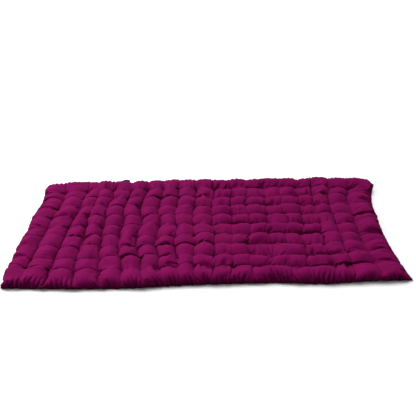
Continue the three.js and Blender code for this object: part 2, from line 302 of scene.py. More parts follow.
@dataclass
class QuiltLayout:
    """Where the edge, the quilting lines and the tufts lie, and how much cloth there is between them.

    A cell is the cloth between two neighbouring lines, and the outermost lie between the edge and the first
    line. The bows, slants and tapers say how far the outline and the lines stray from a neat rectangle.
    """

    field_columns: int = 15
    end_cell_cloth: float = 0.150
    border_cell_cloth: float = 0.136
    column_cell_cloth: float = 0.1210
    edge_row_cloth: float = 0.138
    row_cell_cloth: float = 0.1090
    left_bow: float = 0.028
    right_bow: float = 0.066
    column_slant: float = 0.045
    column_bow: float = 0.060
    back_taper: float = 0.024
    front_taper: float = 0.010
    tuft_wander: float = 0.0075
    row_wander: float = 0.011
    front_bulges: tuple[Bulge, ...] = (Bulge(-0.52, 0.34, 0.020), Bulge(0.58, 0.14, 0.016))
    pinches: tuple[Pinch, ...] = (
        Pinch((0.40, -0.13), 0.085, (-0.022, 0.016)), Pinch((0.60, 0.02), 0.08, (0.016, -0.012)),
        Pinch((0.06, -0.10), 0.07, (0.014, 0.010)), Pinch((-0.42, 0.20), 0.08, (-0.012, 0.006)))
    column_wander: float = 0.010
    line_fill: tuple[float, float] = (0.60, 1.38)
    seed: int = 7
    half_length: float = field(init=False)
    half_width: float = field(init=False)
    column_lines: np.ndarray = field(init=False)
    row_lines: np.ndarray = field(init=False)
    tuft_shift: np.ndarray = field(init=False)
    tuft_drop: np.ndarray = field(init=False)
    tuft_slack: np.ndarray = field(init=False)
    crease_fill: np.ndarray = field(init=False)

    def __post_init__(self) -> None:
        """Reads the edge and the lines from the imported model."""
        low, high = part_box("top_cover_panel")
        self.half_length = (high.x - low.x) / 2
        self.half_width = (high.y - low.y) / 2
        outer_low, outer_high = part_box("border_quilting_thread_outer")
        inner_low, inner_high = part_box("border_quilting_thread_inner")
        straight = [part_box(name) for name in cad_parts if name.startswith("field_quilting_thread")]
        between = sorted((box_low.y + box_high.y) / 2 for box_low, box_high in straight)
        field_lines = np.linspace(inner_low.x, inner_high.x, self.field_columns + 1)
        self.column_lines = np.array([outer_low.x, *field_lines, outer_high.x])
        self.row_lines = np.array([outer_low.y, inner_low.y, *between, inner_high.y, outer_high.y])
        rng = np.random.default_rng(self.seed)
        shape = (len(self.column_lines), len(self.row_lines))
        furthest = 2 * self.tuft_wander
        self.tuft_shift = rng.normal(0, self.tuft_wander, (2, *shape)).clip(-furthest, furthest)
        self.tuft_drop = rng.uniform(-1, 1, shape)
        self.tuft_shift[1] += smooth_noise(shape, (9, 6), rng) * self.row_wander
        furthest = 2 * self.column_wander
        stray = rng.normal(0, self.column_wander, shape).clip(-furthest, furthest)
        right_field = rises(self.column_lines, 0.05, 0.15) * falls(self.column_lines, 0.72, 0.05)
        self.tuft_shift[0] += stray * right_field[:, None]
        self.crease_fill = rng.uniform(*self.line_fill, (2, shape[0] + 1, shape[1] + 1))
        self.tuft_slack = rng.uniform(0, 1, shape)

    def warp(self, x: np.ndarray, y: np.ndarray) -> tuple[np.ndarray, np.ndarray]:
        """Moves points of the neat rectangle to where the mattress really lies.

        Args:
            x: Places along the length, from one corner to the other.
            y: Places along the width.

        Returns:
            The same points, as the mattress lies.
        """
        across = np.clip(y / self.half_width, -1, 1)
        along = np.clip(x / self.half_length, -1, 1)
        left = rises(-along, 0.45, 0.55)
        right = rises(along, 0.42, 0.58)
        left_shape = (1 - across**4) * (0.55 + 0.45 * across)
        right_shape = (1 - np.abs(across) ** 2.6) * (0.88 + 0.25 * across)
        moved_x = x + self.left_bow * left_shape * left**0.7 - self.right_bow * right_shape * right**0.8
        slant_share = rises(-along, 0.60, 0.18) * falls(np.abs(along), 1, 0.2)
        moved_x = moved_x + self.column_slant * across * slant_share
        toward_front = np.clip(-across, 0, 1) ** 2
        left_field = rises(along, -0.74, 0.12) * falls(along, 0.12, 0.40)
        moved_x = moved_x + self.column_bow * np.clip((-y - 0.07) / 0.33, 0, 1.1) ** 1.4 * left_field
        moved_y = y * (1 - self.back_taper * np.clip(along, 0, 1) ** 2 * (across > 0))
        moved_y = moved_y + self.front_taper * along * toward_front
        for bulge in self.front_bulges:
            reach = np.exp(-(((x - bulge.middle) / bulge.spread) ** 2))
            moved_y = moved_y - (bulge.depth * reach - 0.25 * bulge.depth) * toward_front
        return moved_x, moved_y

    def tufts(self) -> np.ndarray:
        """Gives where each tuft lies, as x and y for each column line and row line."""
        x, y = np.meshgrid(self.column_lines, self.row_lines, indexing="ij")
        places = np.stack(self.warp(x, y)) + self.tuft_shift
        for pinch in self.pinches:
            reach = np.hypot(x - pinch.middle[0], y - pinch.middle[1]) / pinch.spread
            places += np.exp(-(reach**2)) * np.array(pinch.drag)[:, None, None]
        return places

    def cloth_cells(self) -> tuple[np.ndarray, np.ndarray]:
        """Gives the cloth in each cell, along the length and along the width."""
        inner = [self.column_cell_cloth] * self.field_columns
        end = [self.end_cell_cloth, self.border_cell_cloth]
        along = [*end, *inner, *end[::-1]]
        rows = [self.row_cell_cloth] * (len(self.row_lines) - 1)
        return np.array(along), np.array([self.edge_row_cloth, *rows, self.edge_row_cloth])


@dataclass
class NodeGrid:
    """The nodes of one panel: which cell each is in, its place, the lines' nodes and the cloth between nodes.

    Each list holds the values along the length first and then those along the width.
    """

    layout: QuiltLayout
    counts: list[np.ndarray]
    cell: list[np.ndarray] = field(init=False)
    share: list[np.ndarray] = field(init=False)
    place: list[np.ndarray] = field(init=False)
    line: list[np.ndarray] = field(init=False)
    rest: list[np.ndarray] = field(init=False)

    def __post_init__(self) -> None:
        """Works the cells, places and rest lengths out from how many spans each cell has."""
        layout = self.layout
        edges_x = [-layout.half_length, *layout.column_lines, layout.half_length]
        edges_y = [-layout.half_width, *layout.row_lines, layout.half_width]
        self.cell, self.share, self.place, self.line, self.rest = [], [], [], [], []
        for counts, edges, cloth in zip(self.counts, (edges_x, edges_y), layout.cloth_cells()):
            cell = np.append(np.repeat(np.arange(len(counts)), counts), len(counts) - 1)
            starts = np.concatenate([[0], np.cumsum(counts)])
            number = np.arange(counts.sum() + 1)
            self.cell.append(cell)
            self.share.append((number - starts[cell]) / counts[cell])
            self.place.append(np.interp(number, starts, edges))
            self.line.append(starts[1:-1])
            self.rest.append(np.repeat(cloth / counts, counts))

    @classmethod
    def coarse(cls, layout: QuiltLayout, step: float) -> "NodeGrid":
        """Makes a grid whose spans are about one step long."""
        cells = layout.cloth_cells()
        return cls(layout, [np.maximum(4, np.round(cloth / step)).astype(int) for cloth in cells])

    def finer(self) -> "NodeGrid":
        """Gives the grid with every span halved."""
        return NodeGrid(self.layout, [counts * 2 for counts in self.counts])

    @property
    def shape(self) -> tuple[int, int]:
        """How many nodes there are each way."""
        return len(self.cell[0]), len(self.cell[1])

    @property
    def step(self) -> float:
        """The mean cloth between two nodes."""
        return float((self.rest[0].mean() + self.rest[1].mean()) / 2)


# ---------------------------------------------------------------- the cloth


def pull_pairs(first: np.ndarray, second: np.ndarray, rest: np.ndarray, firmness: float) -> None:
    """Moves pairs of nodes towards their rest distance.

    Args:
        first: The first nodes of the pairs, which it changes.
        second: The second nodes, which it changes.
        rest: The rest distance of each pair.
        firmness: The share of the error that it takes away.
    """
    gap = second - first
    length = np.sqrt(gap[0] * gap[0] + gap[1] * gap[1] + gap[2] * gap[2])
    share = (0.5 * firmness) * (1.0 - rest / np.maximum(length, 1e-7))
    gap *= share
    first += gap
    second -= gap


def halved_spans(coarse: np.ndarray, axis: int) -> np.ndarray:
    """Puts a node in the middle of every span along one axis, on a smooth curve through its neighbours."""
    values = np.moveaxis(coarse, axis, 0)
    ghost_low, ghost_high = 2 * values[0] - values[1], 2 * values[-1] - values[-2]
    padded = np.concatenate([ghost_low[None], values, ghost_high[None]])
    middles = (9 * (padded[1:-2] + padded[2:-1]) - padded[:-3] - padded[3:]) / 16
    fine = np.empty((2 * len(values) - 1, *values.shape[1:]), np.float32)
    fine[0::2], fine[1::2] = values, middles
    return np.moveaxis(fine, 0, axis)


def from_edges(places: np.ndarray) -> np.ndarray:
    """Gives how far each place on the cloth is from the nearer of its two edges."""
    return np.minimum(places, places.max() - places)


@dataclass(frozen=True)
class Rucks:
    """How the surplus cloth rucks up. Places are measured in metres of cloth, in from its edge."""

    fold_depth: float = 0.0120
    fold_spacing: float = 0.022
    fold_mean: float = 0.64  # about a rectified sine's mean, so that the folds lift no more than they sink
    wander: float = 2.6  # radians by which the folds stray from straight
    face: tuple[float, float] = (0.006, 0.085)  # where the folds of the long sides reach full depth and end
    end_face: tuple[float, float] = (0.02, 0.27)  # the same for the ends
    fade: float = 0.05
    end_share: float = 0.45
    left_share: float = 0.45
    crease_depth: float = 0.0060
    crease_width: float = 0.15  # as a share of the noise that draws the creases
    end_creases: tuple[float, float] = (0.30, 0.03)  # where the creases turn, and over what length
    pucker_depth: float = 0.0090
    pucker_reach: tuple[float, float] = (0.010, 0.031)
    pucker_nodes: int = 12
    kept: float = 0.99

    def folds(self, along: np.ndarray, across: np.ndarray, rng: np.random.Generator) -> np.ndarray:
        """Folds the faces of the sides, and more gently those of the ends.

        Args:
            along: The cloth from the left edge to each column of nodes, as a column.
            across: The cloth from the front edge to each row of nodes, as a row.
            rng: The seeded source of the folds' drift.

        Returns:
            How far each node is lifted.
        """
        shape = (along.size, across.size)
        drift = smooth_noise(shape, (26, 14), rng) + 0.4 * smooth_noise(shape, (90, 30), rng)
        strength = np.clip(0.75 + 0.9 * smooth_noise(shape, (60, 6), rng), 0.1, 1.6)
        depth_in, end_in = from_edges(across), from_edges(along)
        fold = np.abs(np.sin(math.pi * along / self.fold_spacing + self.wander * drift)) - self.fold_mean
        face = rises(depth_in, 0, self.face[0]) * falls(depth_in, self.face[1], self.fade)
        end_turn = math.pi * across / (1.5 * self.fold_spacing) + self.wander * drift.mean() + 2 * drift
        end_fold = np.abs(np.sin(end_turn)) - self.fold_mean
        end_zone = rises(end_in, 0, self.end_face[0]) * falls(end_in, self.end_face[1], self.fade)
        end_zone = end_zone * (face <= 0)
        right_more = np.where(along > along.max() / 2, 1.0, self.left_share)
        sides = self.fold_depth * fold * face * strength * (end_in > self.fade)
        return sides + self.end_share * self.fold_depth * end_fold * end_zone * right_more * strength

    def creases(self, along: np.ndarray, across: np.ndarray, share: np.ndarray,
                rng: np.random.Generator) -> np.ndarray:
        """Draws stray creases: across the rows in the field, along them at the ends, any way right of that.

        Args:
            along: The cloth from the left edge to each column of nodes, as a column.
            across: The cloth from the front edge to each row of nodes, as a row.
            share: How far each row of nodes is through its own cell.
            rng: The seeded source of the creases.

        Returns:
            How far each node sinks.
        """
        shape = (along.size, across.size)
        lines = smooth_noise(shape, (120, 13), rng) + 0.35 * smooth_noise(shape, (170, 70), rng)
        cross_lines = smooth_noise(shape, (20, 70), rng) + 0.35 * smooth_noise(shape, (120, 90), rng)
        any_lines = smooth_noise(shape, (95, 50), rng)
        spots = np.clip(0.35 + 1.2 * smooth_noise(shape, (50, 26), rng), 0, 1)
        at_end = falls(from_edges(along), *self.end_creases)
        share_along = along / along.max()
        middle_right = rises(share_along, 0.56, 0.06) * falls(share_along, 0.86, 0.04)
        mix = (lines * (1 - at_end) * (1 - 0.5 * middle_right) + cross_lines * at_end
               + any_lines * 0.6 * middle_right)
        near_row = 0.35 + 0.65 * np.abs(2 * share - 1)[None, :] ** 1.5
        inside = rises(from_edges(across), 0, self.fade)
        return self.crease_depth * np.exp(-((mix / self.crease_width) ** 2)) * spots * near_row * inside

    def pucker(self, reach: np.ndarray, turn: np.ndarray, rng: np.random.Generator) -> np.ndarray:
        """Puckers the cloth round one tuft, in folds that run out from it like spokes.

        Args:
            reach: How far each node is from the tuft.
            turn: The direction of each node from the tuft, in radians.
            rng: The seeded source of the spokes.

        Returns:
            How far each node is lifted.
        """
        count, phase = rng.integers(5, 8), rng.uniform(0, 2 * math.pi)
        ripple = np.abs(np.sin(count * turn / 2 + phase + rng.uniform(-30, 30) * reach)) - 0.6
        near = rises(reach, 0, self.pucker_reach[0]) * np.exp(-((reach / self.pucker_reach[1]) ** 2))
        return self.pucker_depth * rng.uniform(0.4, 1.5) * ripple * near


@dataclass
class PanelSettings:
    """What sets how one panel settles. A pair of heights is for the left and the right of the mattress."""

    side: Side
    tuft_height: float
    tuft_spread: float
    crown: float
    coarse_step: float
    rounds: tuple[int, ...]
    stiffness: tuple[float, ...]
    push: float
    seed: int
    row_rise: tuple[float, float] = (0.040, 0.015)
    column_rise: tuple[float, float] = (0.011, 0.047)
    end_rise: tuple[float, float] = (0.043, 0.021)
    end_column_rise: float = 0.012
    back_fill: float = 0.032
    rolls: tuple[tuple[float, float], ...] = ((0.02, 0.16), (0.66, 0.06))  # their start and end, and how soft
    roundness: tuple[float, float] = (1.5, 0.85)  # the powers of a pillow's profile
    cloth_share: float = 1.0
    edge_height: float = 0.008
    edge_ripple: float = 0.0014
    shear_firmness: float = 0.12
    crease_load: float = 2.2
    slack_spread: float = 0.05
    edge_surplus: float = 0.13
    end_surplus: tuple[float, float] = (0.05, 0.12)
    rucks: Rucks | None = None
    rounds_after: int = 30


class ClothPanel:
    """One panel of the cover: cloth that the filling pushes out and the stitches hold down."""

    skim: float = 0.0004  # how far the lower panel keeps off the floor
    edge_floor: float = 0.002  # how low the upper panel may come at the edge
    field_floor: float = 0.0135  # and how much less low inside, where it meets the lower panel
    overhang: float = 0.016  # how far it may stand out past its own edge, higher up
    lump_height: float = 0.006
    loose_columns: tuple[float, float] = (0.5, 0.82)  # between which shares of the columns tufts may be loose
    tight_share: float = 0.66

    def __init__(self, layout: QuiltLayout, settings: PanelSettings) -> None:
        """Keeps the sizes and draws the uneven stuffing.

        Args:
            layout: Where the edge, the lines and the tufts lie.
            settings: How this panel settles.
        """
        self.layout, self.settings = layout, settings
        self.grid = NodeGrid.coarse(layout, settings.coarse_step)
        finest = self.grid
        for _ in settings.rounds[1:]:
            finest = finest.finer()
        rng = np.random.default_rng(settings.seed)
        shape = finest.shape
        self.lumps = smooth_noise(shape, (30, 15), rng)
        self.slack_along = smooth_noise(shape, (44, 21), rng)
        self.slack_across = smooth_noise(shape, (44, 21), rng)
        self.crease = smooth_noise(shape, (210, 20), rng) + 0.5 * smooth_noise(shape, (130, 36), rng)
        self.end_crease = smooth_noise(shape, (34, 100), rng) + 0.5 * smooth_noise(shape, (60, 60), rng)
        self.ripple = rng.uniform(0, 2 * math.pi, 8)
        self.nodes = self.first_shape()

    def first_shape(self) -> np.ndarray:
        """Lays the coarse sheet over the filling as a low dome."""
        grid, settings, layout = self.grid, self.settings, self.layout
        place_x, place_y = np.meshgrid(*grid.place, indexing="ij")
        x, y = layout.warp(place_x, place_y)
        reach = np.minimum(falls(np.abs(place_x), layout.half_length, 0.06),
                           falls(np.abs(place_y), layout.half_width, 0.05))
        dome = np.sin(reach * math.pi / 2)
        goal = settings.tuft_height + 0.4 * (settings.crown - settings.tuft_height)
        z = settings.edge_height + (goal - settings.edge_height) * dome
        return np.stack([x, y, z]).astype(np.float32)

    def edge_targets(self, grid: NodeGrid) -> np.ndarray:
        """Where the edge's nodes are sewn: on the outline, with a slight ripple."""
        place_x, place_y = np.meshgrid(*grid.place, indexing="ij")
        x, y = self.layout.warp(place_x, place_y)
        walk = x * 1.0 + y * 1.7
        up_rates, out_rates = (47, 71, 113, 173, 211), (59, 97, 139)  # radians per metre of edge
        ripple = sum(np.sin(walk * rate + phase) for rate, phase in zip(up_rates, self.ripple)) / 3
        spread = sum(np.sin(walk * rate + phase) for rate, phase in zip(out_rates, self.ripple[5:])) / 2
        z = self.settings.edge_height + self.settings.edge_ripple * ripple
        outward = self.settings.edge_ripple * spread
        return np.stack([x + outward * np.sign(x) * (np.abs(place_x) >= self.layout.half_length - 1e-6),
                         y + outward * np.sign(y) * (np.abs(place_y) >= self.layout.half_width - 1e-6), z])

    def level(self, grid: NodeGrid, last: bool) -> None:
        """Prepares the limits, pins and rest lengths for one grid.

        Args:
            grid: The nodes.
            last: Whether this is the finest grid.
        """
        settings, layout = self.settings, self.layout
        stride = max(1, (self.lumps.shape[0] - 1) // (grid.shape[0] - 1))
        lumps = self.lumps[::stride, ::stride]
        cell_x, cell_y = np.meshgrid(*grid.cell, indexing="ij")
        place_x, place_y = np.meshgrid(*grid.place, indexing="ij")
        along = place_x / layout.half_length
        rest_along, rest_across = grid.rest[0][:, None], grid.rest[1][None, :]
        if settings.side is Side.LOWER:
            rest_along, rest_across = np.diff(grid.place[0])[:, None], np.diff(grid.place[1])[None, :]
        slack_u = 1 + settings.slack_spread * self.slack_along[::stride, ::stride]
        slack_v = 1 + settings.slack_spread * self.slack_across[::stride, ::stride]
        edge_row = np.minimum(cell_y, len(layout.row_lines) - cell_y) == 0
        end_column = np.minimum(cell_x, len(layout.column_lines) - cell_x) <= 1
        slack_u = slack_u + settings.edge_surplus * edge_row
        slack_v = slack_v + end_column * np.where(along > 0, settings.end_surplus[1], settings.end_surplus[0])
        share = settings.cloth_share
        self.rest_u = (rest_along * slack_u[:-1] * share).astype(np.float32)
        self.rest_v = (rest_across * slack_v[:, :-1] * share).astype(np.float32)
        self.rest_d = np.sqrt(self.rest_u[:, :-1] ** 2 + self.rest_v[:-1] ** 2)
        corner = np.hypot(layout.half_length - np.abs(place_x), layout.half_width - np.abs(place_y))
        corner_share = rises(corner, 0.02, 0.13)
        end_share = (0.5 + 0.5 * np.tanh((np.abs(along) - 0.80) / 0.03))
        crease = (self.crease[::stride, ::stride] * (1 - end_share)
                  + self.end_crease[::stride, ::stride] * end_share)
        face = rises(np.abs(place_y), layout.half_width - 0.075, 0.03)
        near_line = np.abs(2 * grid.share[1] - 1)[None, :] ** 3
        depth = settings.crease_load * (0.5 + 0.9 * near_line) * (1 - 0.7 * face)
        self.load = ((1 + 0.28 * lumps + depth * crease) * corner_share).astype(np.float32)
        self.set_pins(grid, last)
        self.set_limits(grid, lumps, corner_share)

    def set_pins(self, grid: NodeGrid, last: bool) -> None:
        """Finds the sewn nodes and where they are held."""
        settings, layout = self.settings, self.layout
        targets = self.edge_targets(grid)
        pinned = np.zeros(grid.shape, bool)
        pinned[0], pinned[-1], pinned[:, 0], pinned[:, -1] = True, True, True, True
        tufts = layout.tufts()
        heights = settings.tuft_height + settings.tuft_spread * layout.tuft_drop
        for column, i in enumerate(grid.line[0]):
            for row, j in enumerate(grid.line[1]):
                if self.is_loose(column, row):
                    continue
                spots = [(0, 0)]
                if last:
                    spots += [(1, 0), (-1, 0), (0, 1), (0, -1)]
                for di, dj in spots:
                    x, y = tufts[:, column, row] + 0.7 * grid.step * np.array((di, dj))
                    targets[:, i + di, j + dj] = (x, y, heights[column, row])
                    pinned[i + di, j + dj] = True
        self.pin_at = np.nonzero(pinned)
        self.pin_to = targets[:, self.pin_at[0], self.pin_at[1]].astype(np.float32)

    def is_loose(self, column: int, row: int) -> bool:
        """Whether the stitch at a tuft, right of the middle, is too slack to pull the cloth down."""
        first, last = self.loose_columns
        middle_right = first < column / len(self.layout.column_lines) < last
        inside = 1 < row < len(self.layout.row_lines) - 2
        return bool(middle_right and inside and self.layout.tuft_slack[column, row] > self.tight_share)

    def loft(self, grid: NodeGrid, lumps: np.ndarray, corner_share: np.ndarray) -> np.ndarray:
        """How high the filling can hold the cloth: a pillow between tufts, low where stitches run.

        Args:
            grid: The nodes.
            lumps: How unevenly it is stuffed.
            corner_share: How much filling reaches the corners.

        Returns:
            The greatest height of each node.
        """
        settings, layout = self.settings, self.layout
        tufts = settings.tuft_height + settings.tuft_spread * layout.tuft_drop
        tufts = np.pad(tufts, 1, mode="edge")
        share_x, share_y = grid.share
        cell_x, cell_y = grid.cell
        base = np.zeros(grid.shape)
        for step_x, weight_x in ((0, 1 - share_x), (1, share_x)):
            for step_y, weight_y in ((0, 1 - share_y), (1, share_y)):
                at_corner = tufts[np.ix_(cell_x + step_x, cell_y + step_y)]
                base += at_corner * weight_x[:, None] * weight_y[None, :]
        profiles = []
        for shares, cells in ((share_x, cell_x), (share_y, cell_y)):
            profile = (1 - np.abs(2 * shares - 1) ** settings.roundness[0]) ** settings.roundness[1]
            open_side = ((cells == 0) & (shares < 0.5)) | ((cells == cells.max()) & (shares > 0.5))
            profiles.append(np.where(open_side, 1.0, profile))
        across_x, across_y = profiles[0][:, None], profiles[1][None, :]
        last_column = len(layout.column_lines)
        marks = np.linspace(0, grid.shape[0] - 1, 101)
        along = np.interp(np.arange(grid.shape[0]), marks, np.linspace(-1, 1, 101))
        (rolls_start, start_fade), (rolls_end, end_fade) = settings.rolls
        rolls = 0.5 + 0.5 * np.tanh((along - rolls_start) / start_fade)
        rolls = rolls * (0.5 - 0.5 * np.tanh((along - rolls_end) / end_fade))
        end = np.minimum(cell_x, last_column - cell_x) <= 1
        row_rise = settings.row_rise[0] + (settings.row_rise[1] - settings.row_rise[0]) * rolls
        row_rise = np.where(end, np.where(along < 0, *settings.end_rise), row_rise)
        column_rise = settings.column_rise[0] + (settings.column_rise[1] - settings.column_rise[0]) * rolls
        column_rise = np.where(end, settings.end_column_rise, column_rise)
        crown = (settings.crown - base + self.lump_height * lumps) * (0.5 + 0.5 * corner_share)
        back_row = np.clip(cell_y - len(layout.row_lines) + 1, 0, 1) * settings.back_fill
        nearest_x = cell_x + (share_x > 0.5)
        nearest_y = cell_y + (share_y > 0.5)
        fill = layout.crease_fill
        row_fill = fill[0][np.ix_(cell_x, np.minimum(nearest_y, fill.shape[2] - 1))]
        column_fill = fill[1][np.ix_(np.minimum(nearest_x, fill.shape[1] - 1), cell_y)]
        height = (row_rise[:, None] * row_fill * across_x * (1 - across_y)
                  + (column_rise[:, None] * column_fill + back_row[None, :]) * across_y * (1 - across_x)
                  + crown * across_x * across_y)
        return base + height

    def set_limits(self, grid: NodeGrid, lumps: np.ndarray, corner_share: np.ndarray) -> None:
        """Sets how high the cloth may stand, and where neighbouring rolls meet."""
        layout = self.layout
        tufts, lines_x, lines_y = layout.tufts(), grid.line[0], grid.line[1]
        edge_x, edge_y, _ = self.edge_targets(grid).astype(np.float32)
        place_x, place_y = np.meshgrid(*grid.place, indexing="ij")
        inside = np.minimum(layout.half_length - np.abs(place_x), layout.half_width - np.abs(place_y))
        self.lowest = (self.edge_floor + self.field_floor * rises(inside, 0.03, 0.03)).astype(np.float32)
        self.outline = edge_x[:1], edge_x[-1:], edge_y[:, :1], edge_y[:, -1:]
        low_y, high_y = np.full(grid.shape, -9.0, np.float32), np.full(grid.shape, 9.0, np.float32)
        low_x, high_x = low_y.copy(), high_y.copy()
        last_column, last_row = len(lines_x) - 1, len(lines_y) - 1
        for row, j in enumerate(lines_y):
            ring = min(row, last_row - row, 1)
            span = slice(lines_x[ring], lines_x[last_column - ring] + 1)
            y = np.interp(np.arange(grid.shape[0])[span], lines_x, tufts[1, :, row])
            low_y[span, j:] = np.maximum(low_y[span, j:], y[:, None])
            high_y[span, :j + 1] = np.minimum(high_y[span, :j + 1], y[:, None])
        for column in (0, 1, last_column - 1, last_column):
            ring = min(column, last_column - column)
            i = lines_x[column]
            span = slice(lines_y[ring], lines_y[last_row - ring] + 1)
            x = np.interp(np.arange(grid.shape[1])[span], lines_y, tufts[0, column])
            low_x[i:, span] = np.maximum(low_x[i:, span], x[None, :])
            high_x[:i + 1, span] = np.minimum(high_x[:i + 1, span], x[None, :])
        self.top = self.loft(grid, lumps, corner_share).astype(np.float32)
        self.low_x, self.high_x, self.low_y, self.high_y = low_x, high_x, low_y, high_y

    def sweep(self, nodes: np.ndarray) -> None:
        """Brings every span and diagonal nearer its rest length once."""
        for start in (0, 1):
            first, second = nodes[:, start:-1:2], nodes[:, start + 1::2]
            pull_pairs(first, second, self.rest_u[start::2], 0.95)
            first, second = nodes[:, :, start:-1:2], nodes[:, :, start + 1::2]
            pull_pairs(first, second, self.rest_v[:, start::2], 0.95)
        for start in (0, 1):
            rest = self.rest_d[start::2]
            firmness = self.settings.shear_firmness
            pull_pairs(nodes[:, start:-1:2, :-1], nodes[:, start + 1::2, 1:], rest, firmness)
            pull_pairs(nodes[:, start:-1:2, 1:], nodes[:, start + 1::2, :-1], rest, firmness)

    def resist_bending(self, nodes: np.ndarray, stiffness: float) -> None:
        """Takes away a share of the sheet's curvature of curvature, as stiff cloth does."""
        bend = np.zeros_like(nodes)
        bend[:, 1:-1, 1:-1] = (nodes[:, :-2, 1:-1] + nodes[:, 2:, 1:-1]
                               + nodes[:, 1:-1, :-2] + nodes[:, 1:-1, 2:]) / 4
        bend[:, 1:-1, 1:-1] -= nodes[:, 1:-1, 1:-1]
        inner = bend[:, 1:-1, 1:-1]
        around = (bend[:, :-2, 1:-1] + bend[:, 2:, 1:-1] + bend[:, 1:-1, :-2] + bend[:, 1:-1, 2:]) / 4
        nodes[:, 1:-1, 1:-1] -= stiffness * (around - inner)

    def push_out(self, nodes: np.ndarray, amount: float) -> None:
        """Moves the cloth outward as the filling does."""
        along = nodes[:, 2:, 1:-1] - nodes[:, :-2, 1:-1]
        across = nodes[:, 1:-1, 2:] - nodes[:, 1:-1, :-2]
        normal = np.empty_like(along)
        normal[0] = along[1] * across[2] - along[2] * across[1]
        normal[1] = along[2] * across[0] - along[0] * across[2]
        normal[2] = along[0] * across[1] - along[1] * across[0]
        normal *= amount * self.settings.side.value / (4 * self.grid.step**2) * self.load[1:-1, 1:-1]
        nodes[:, 1:-1, 1:-1] += normal

    def hold(self, nodes: np.ndarray) -> None:
        """Keeps the cloth off the floor, under the crown height, inside its own roll and on its stitches."""
        np.clip(nodes[0], self.low_x, self.high_x, out=nodes[0])
        np.clip(nodes[1], self.low_y, self.high_y, out=nodes[1])
        spare = 0.0005 + np.clip(0.8 * (nodes[2] - 0.005), 0, self.overhang)
        left, right, front, back = self.outline
        np.clip(nodes[0], left - spare, right + spare, out=nodes[0])
        np.clip(nodes[1], front - spare, back + spare, out=nodes[1])
        if self.settings.side is Side.UPPER:
            nodes[2] -= 0.5 * np.maximum(nodes[2] - self.top, 0)
            np.clip(nodes[2], self.lowest, self.settings.crown + self.lump_height, out=nodes[2])
        else:
            np.clip(nodes[2], self.skim, self.settings.crown, out=nodes[2])
        nodes[:, self.pin_at[0], self.pin_at[1]] = self.pin_to

    def gather(self, nodes: np.ndarray, rucks: Rucks) -> None:
        """Rucks the surplus cloth, and lets its rest lengths grow to match, so that the rucks stay.

        Args:
            nodes: The cloth's nodes on the finest grid, which it changes.
            rucks: How the cloth rucks up.
        """
        grid, rng = self.grid, np.random.default_rng(self.settings.seed + 1)
        along = np.concatenate([[0], np.cumsum(grid.rest[0])])[:, None]
        across = np.concatenate([[0], np.cumsum(grid.rest[1])])[None, :]
        lift = rucks.folds(along, across, rng)
        lift = lift - rucks.creases(along, across, grid.share[1], rng)
        span = rucks.pucker_nodes
        for i in grid.line[0]:
            for j in grid.line[1]:
                window = (slice(i - span, i + span + 1), slice(j - span, j + span + 1))
                du, dv = along[window[0]] - along[i], across[:, window[1]] - across[:, j:j + 1]
                lift[window] += rucks.pucker(np.hypot(du, dv), np.arctan2(dv, du), rng)
        slope_u, slope_v = np.gradient(nodes, axis=1), np.gradient(nodes, axis=2)
        normal = np.cross(slope_u, slope_v, axis=0)
        normal /= np.maximum(np.linalg.norm(normal, axis=0), 1e-9)
        nodes += (self.settings.side.value * lift * normal).astype(np.float32)
        self.rest_u = np.maximum(self.rest_u, rucks.kept * np.linalg.norm(np.diff(nodes, axis=1), axis=0))
        self.rest_v = np.maximum(self.rest_v, rucks.kept * np.linalg.norm(np.diff(nodes, axis=2), axis=0))
        self.rest_d = np.sqrt(self.rest_u[:, :-1] ** 2 + self.rest_v[:-1] ** 2)

    def settle(self) -> None:
        """Lets the sheet come to rest on the coarse grid, then on each finer one, and rucks it last."""
        rounds = self.settings.rounds
        for number, count in enumerate(rounds):
            if number > 0:
                self.grid = self.grid.finer()
                self.nodes = halved_spans(halved_spans(self.nodes, 1), 2)
            self.level(self.grid, number == len(rounds) - 1)
            nodes, speed = self.nodes, np.zeros_like(self.nodes)
            stride = (self.crease.shape[0] - 1) // (self.grid.shape[0] - 1)
            nodes[2] += 0.0006 * self.crease[::stride, ::stride]
            amount = self.settings.push * self.grid.step**2
            first_rucked = count - self.settings.rounds_after if number == len(rounds) - 1 else count
            for step in range(count):
                rucked = step >= first_rucked
                if step == first_rucked and self.settings.rucks:
                    self.gather(nodes, self.settings.rucks)
                    speed[:] = 0
                before = nodes.copy()
                nodes += (0.5 if rucked else 0.88) * speed
                self.push_out(nodes, amount * (0.12 if rucked else 1.0))
                self.sweep(nodes)
                self.resist_bending(nodes, 0.02 if rucked else self.settings.stiffness[number])
                self.hold(nodes)
                fastest = 0.15 * self.grid.step
                speed = np.clip(nodes - before, -fastest, fastest)
            self.nodes = nodes
        LOG.info("%s panel settled on %d by %d nodes", self.settings.side.name.lower(), *self.grid.shape)

    def build(self, name: str) -> bpy.types.Object:
        """Makes the panel's mesh, with its map along the threads.

        Args:
            name: The object's name.

        Returns:
            The new object.
        """
        rows, columns = self.grid.shape
        points = np.moveaxis(self.nodes, 0, -1).reshape(-1, 3)
        faces = grid_faces(rows, columns, flip=self.settings.side is Side.LOWER)
        piece = mesh_object(name, points, faces)
        along = np.concatenate([[0], np.cumsum(self.grid.rest[0])])
        across = np.concatenate([[0], np.cumsum(self.grid.rest[1])])
        u, v = np.meshgrid(along, across, indexing="ij")
        cloth = np.stack([u.ravel(), v.ravel()], axis=1)
        add_uv(piece, "cloth", cloth)
        add_uv(piece, "OFBake", cloth / cloth.max(axis=0))
        return piece


# ---------------------------------------------------------------- finishes


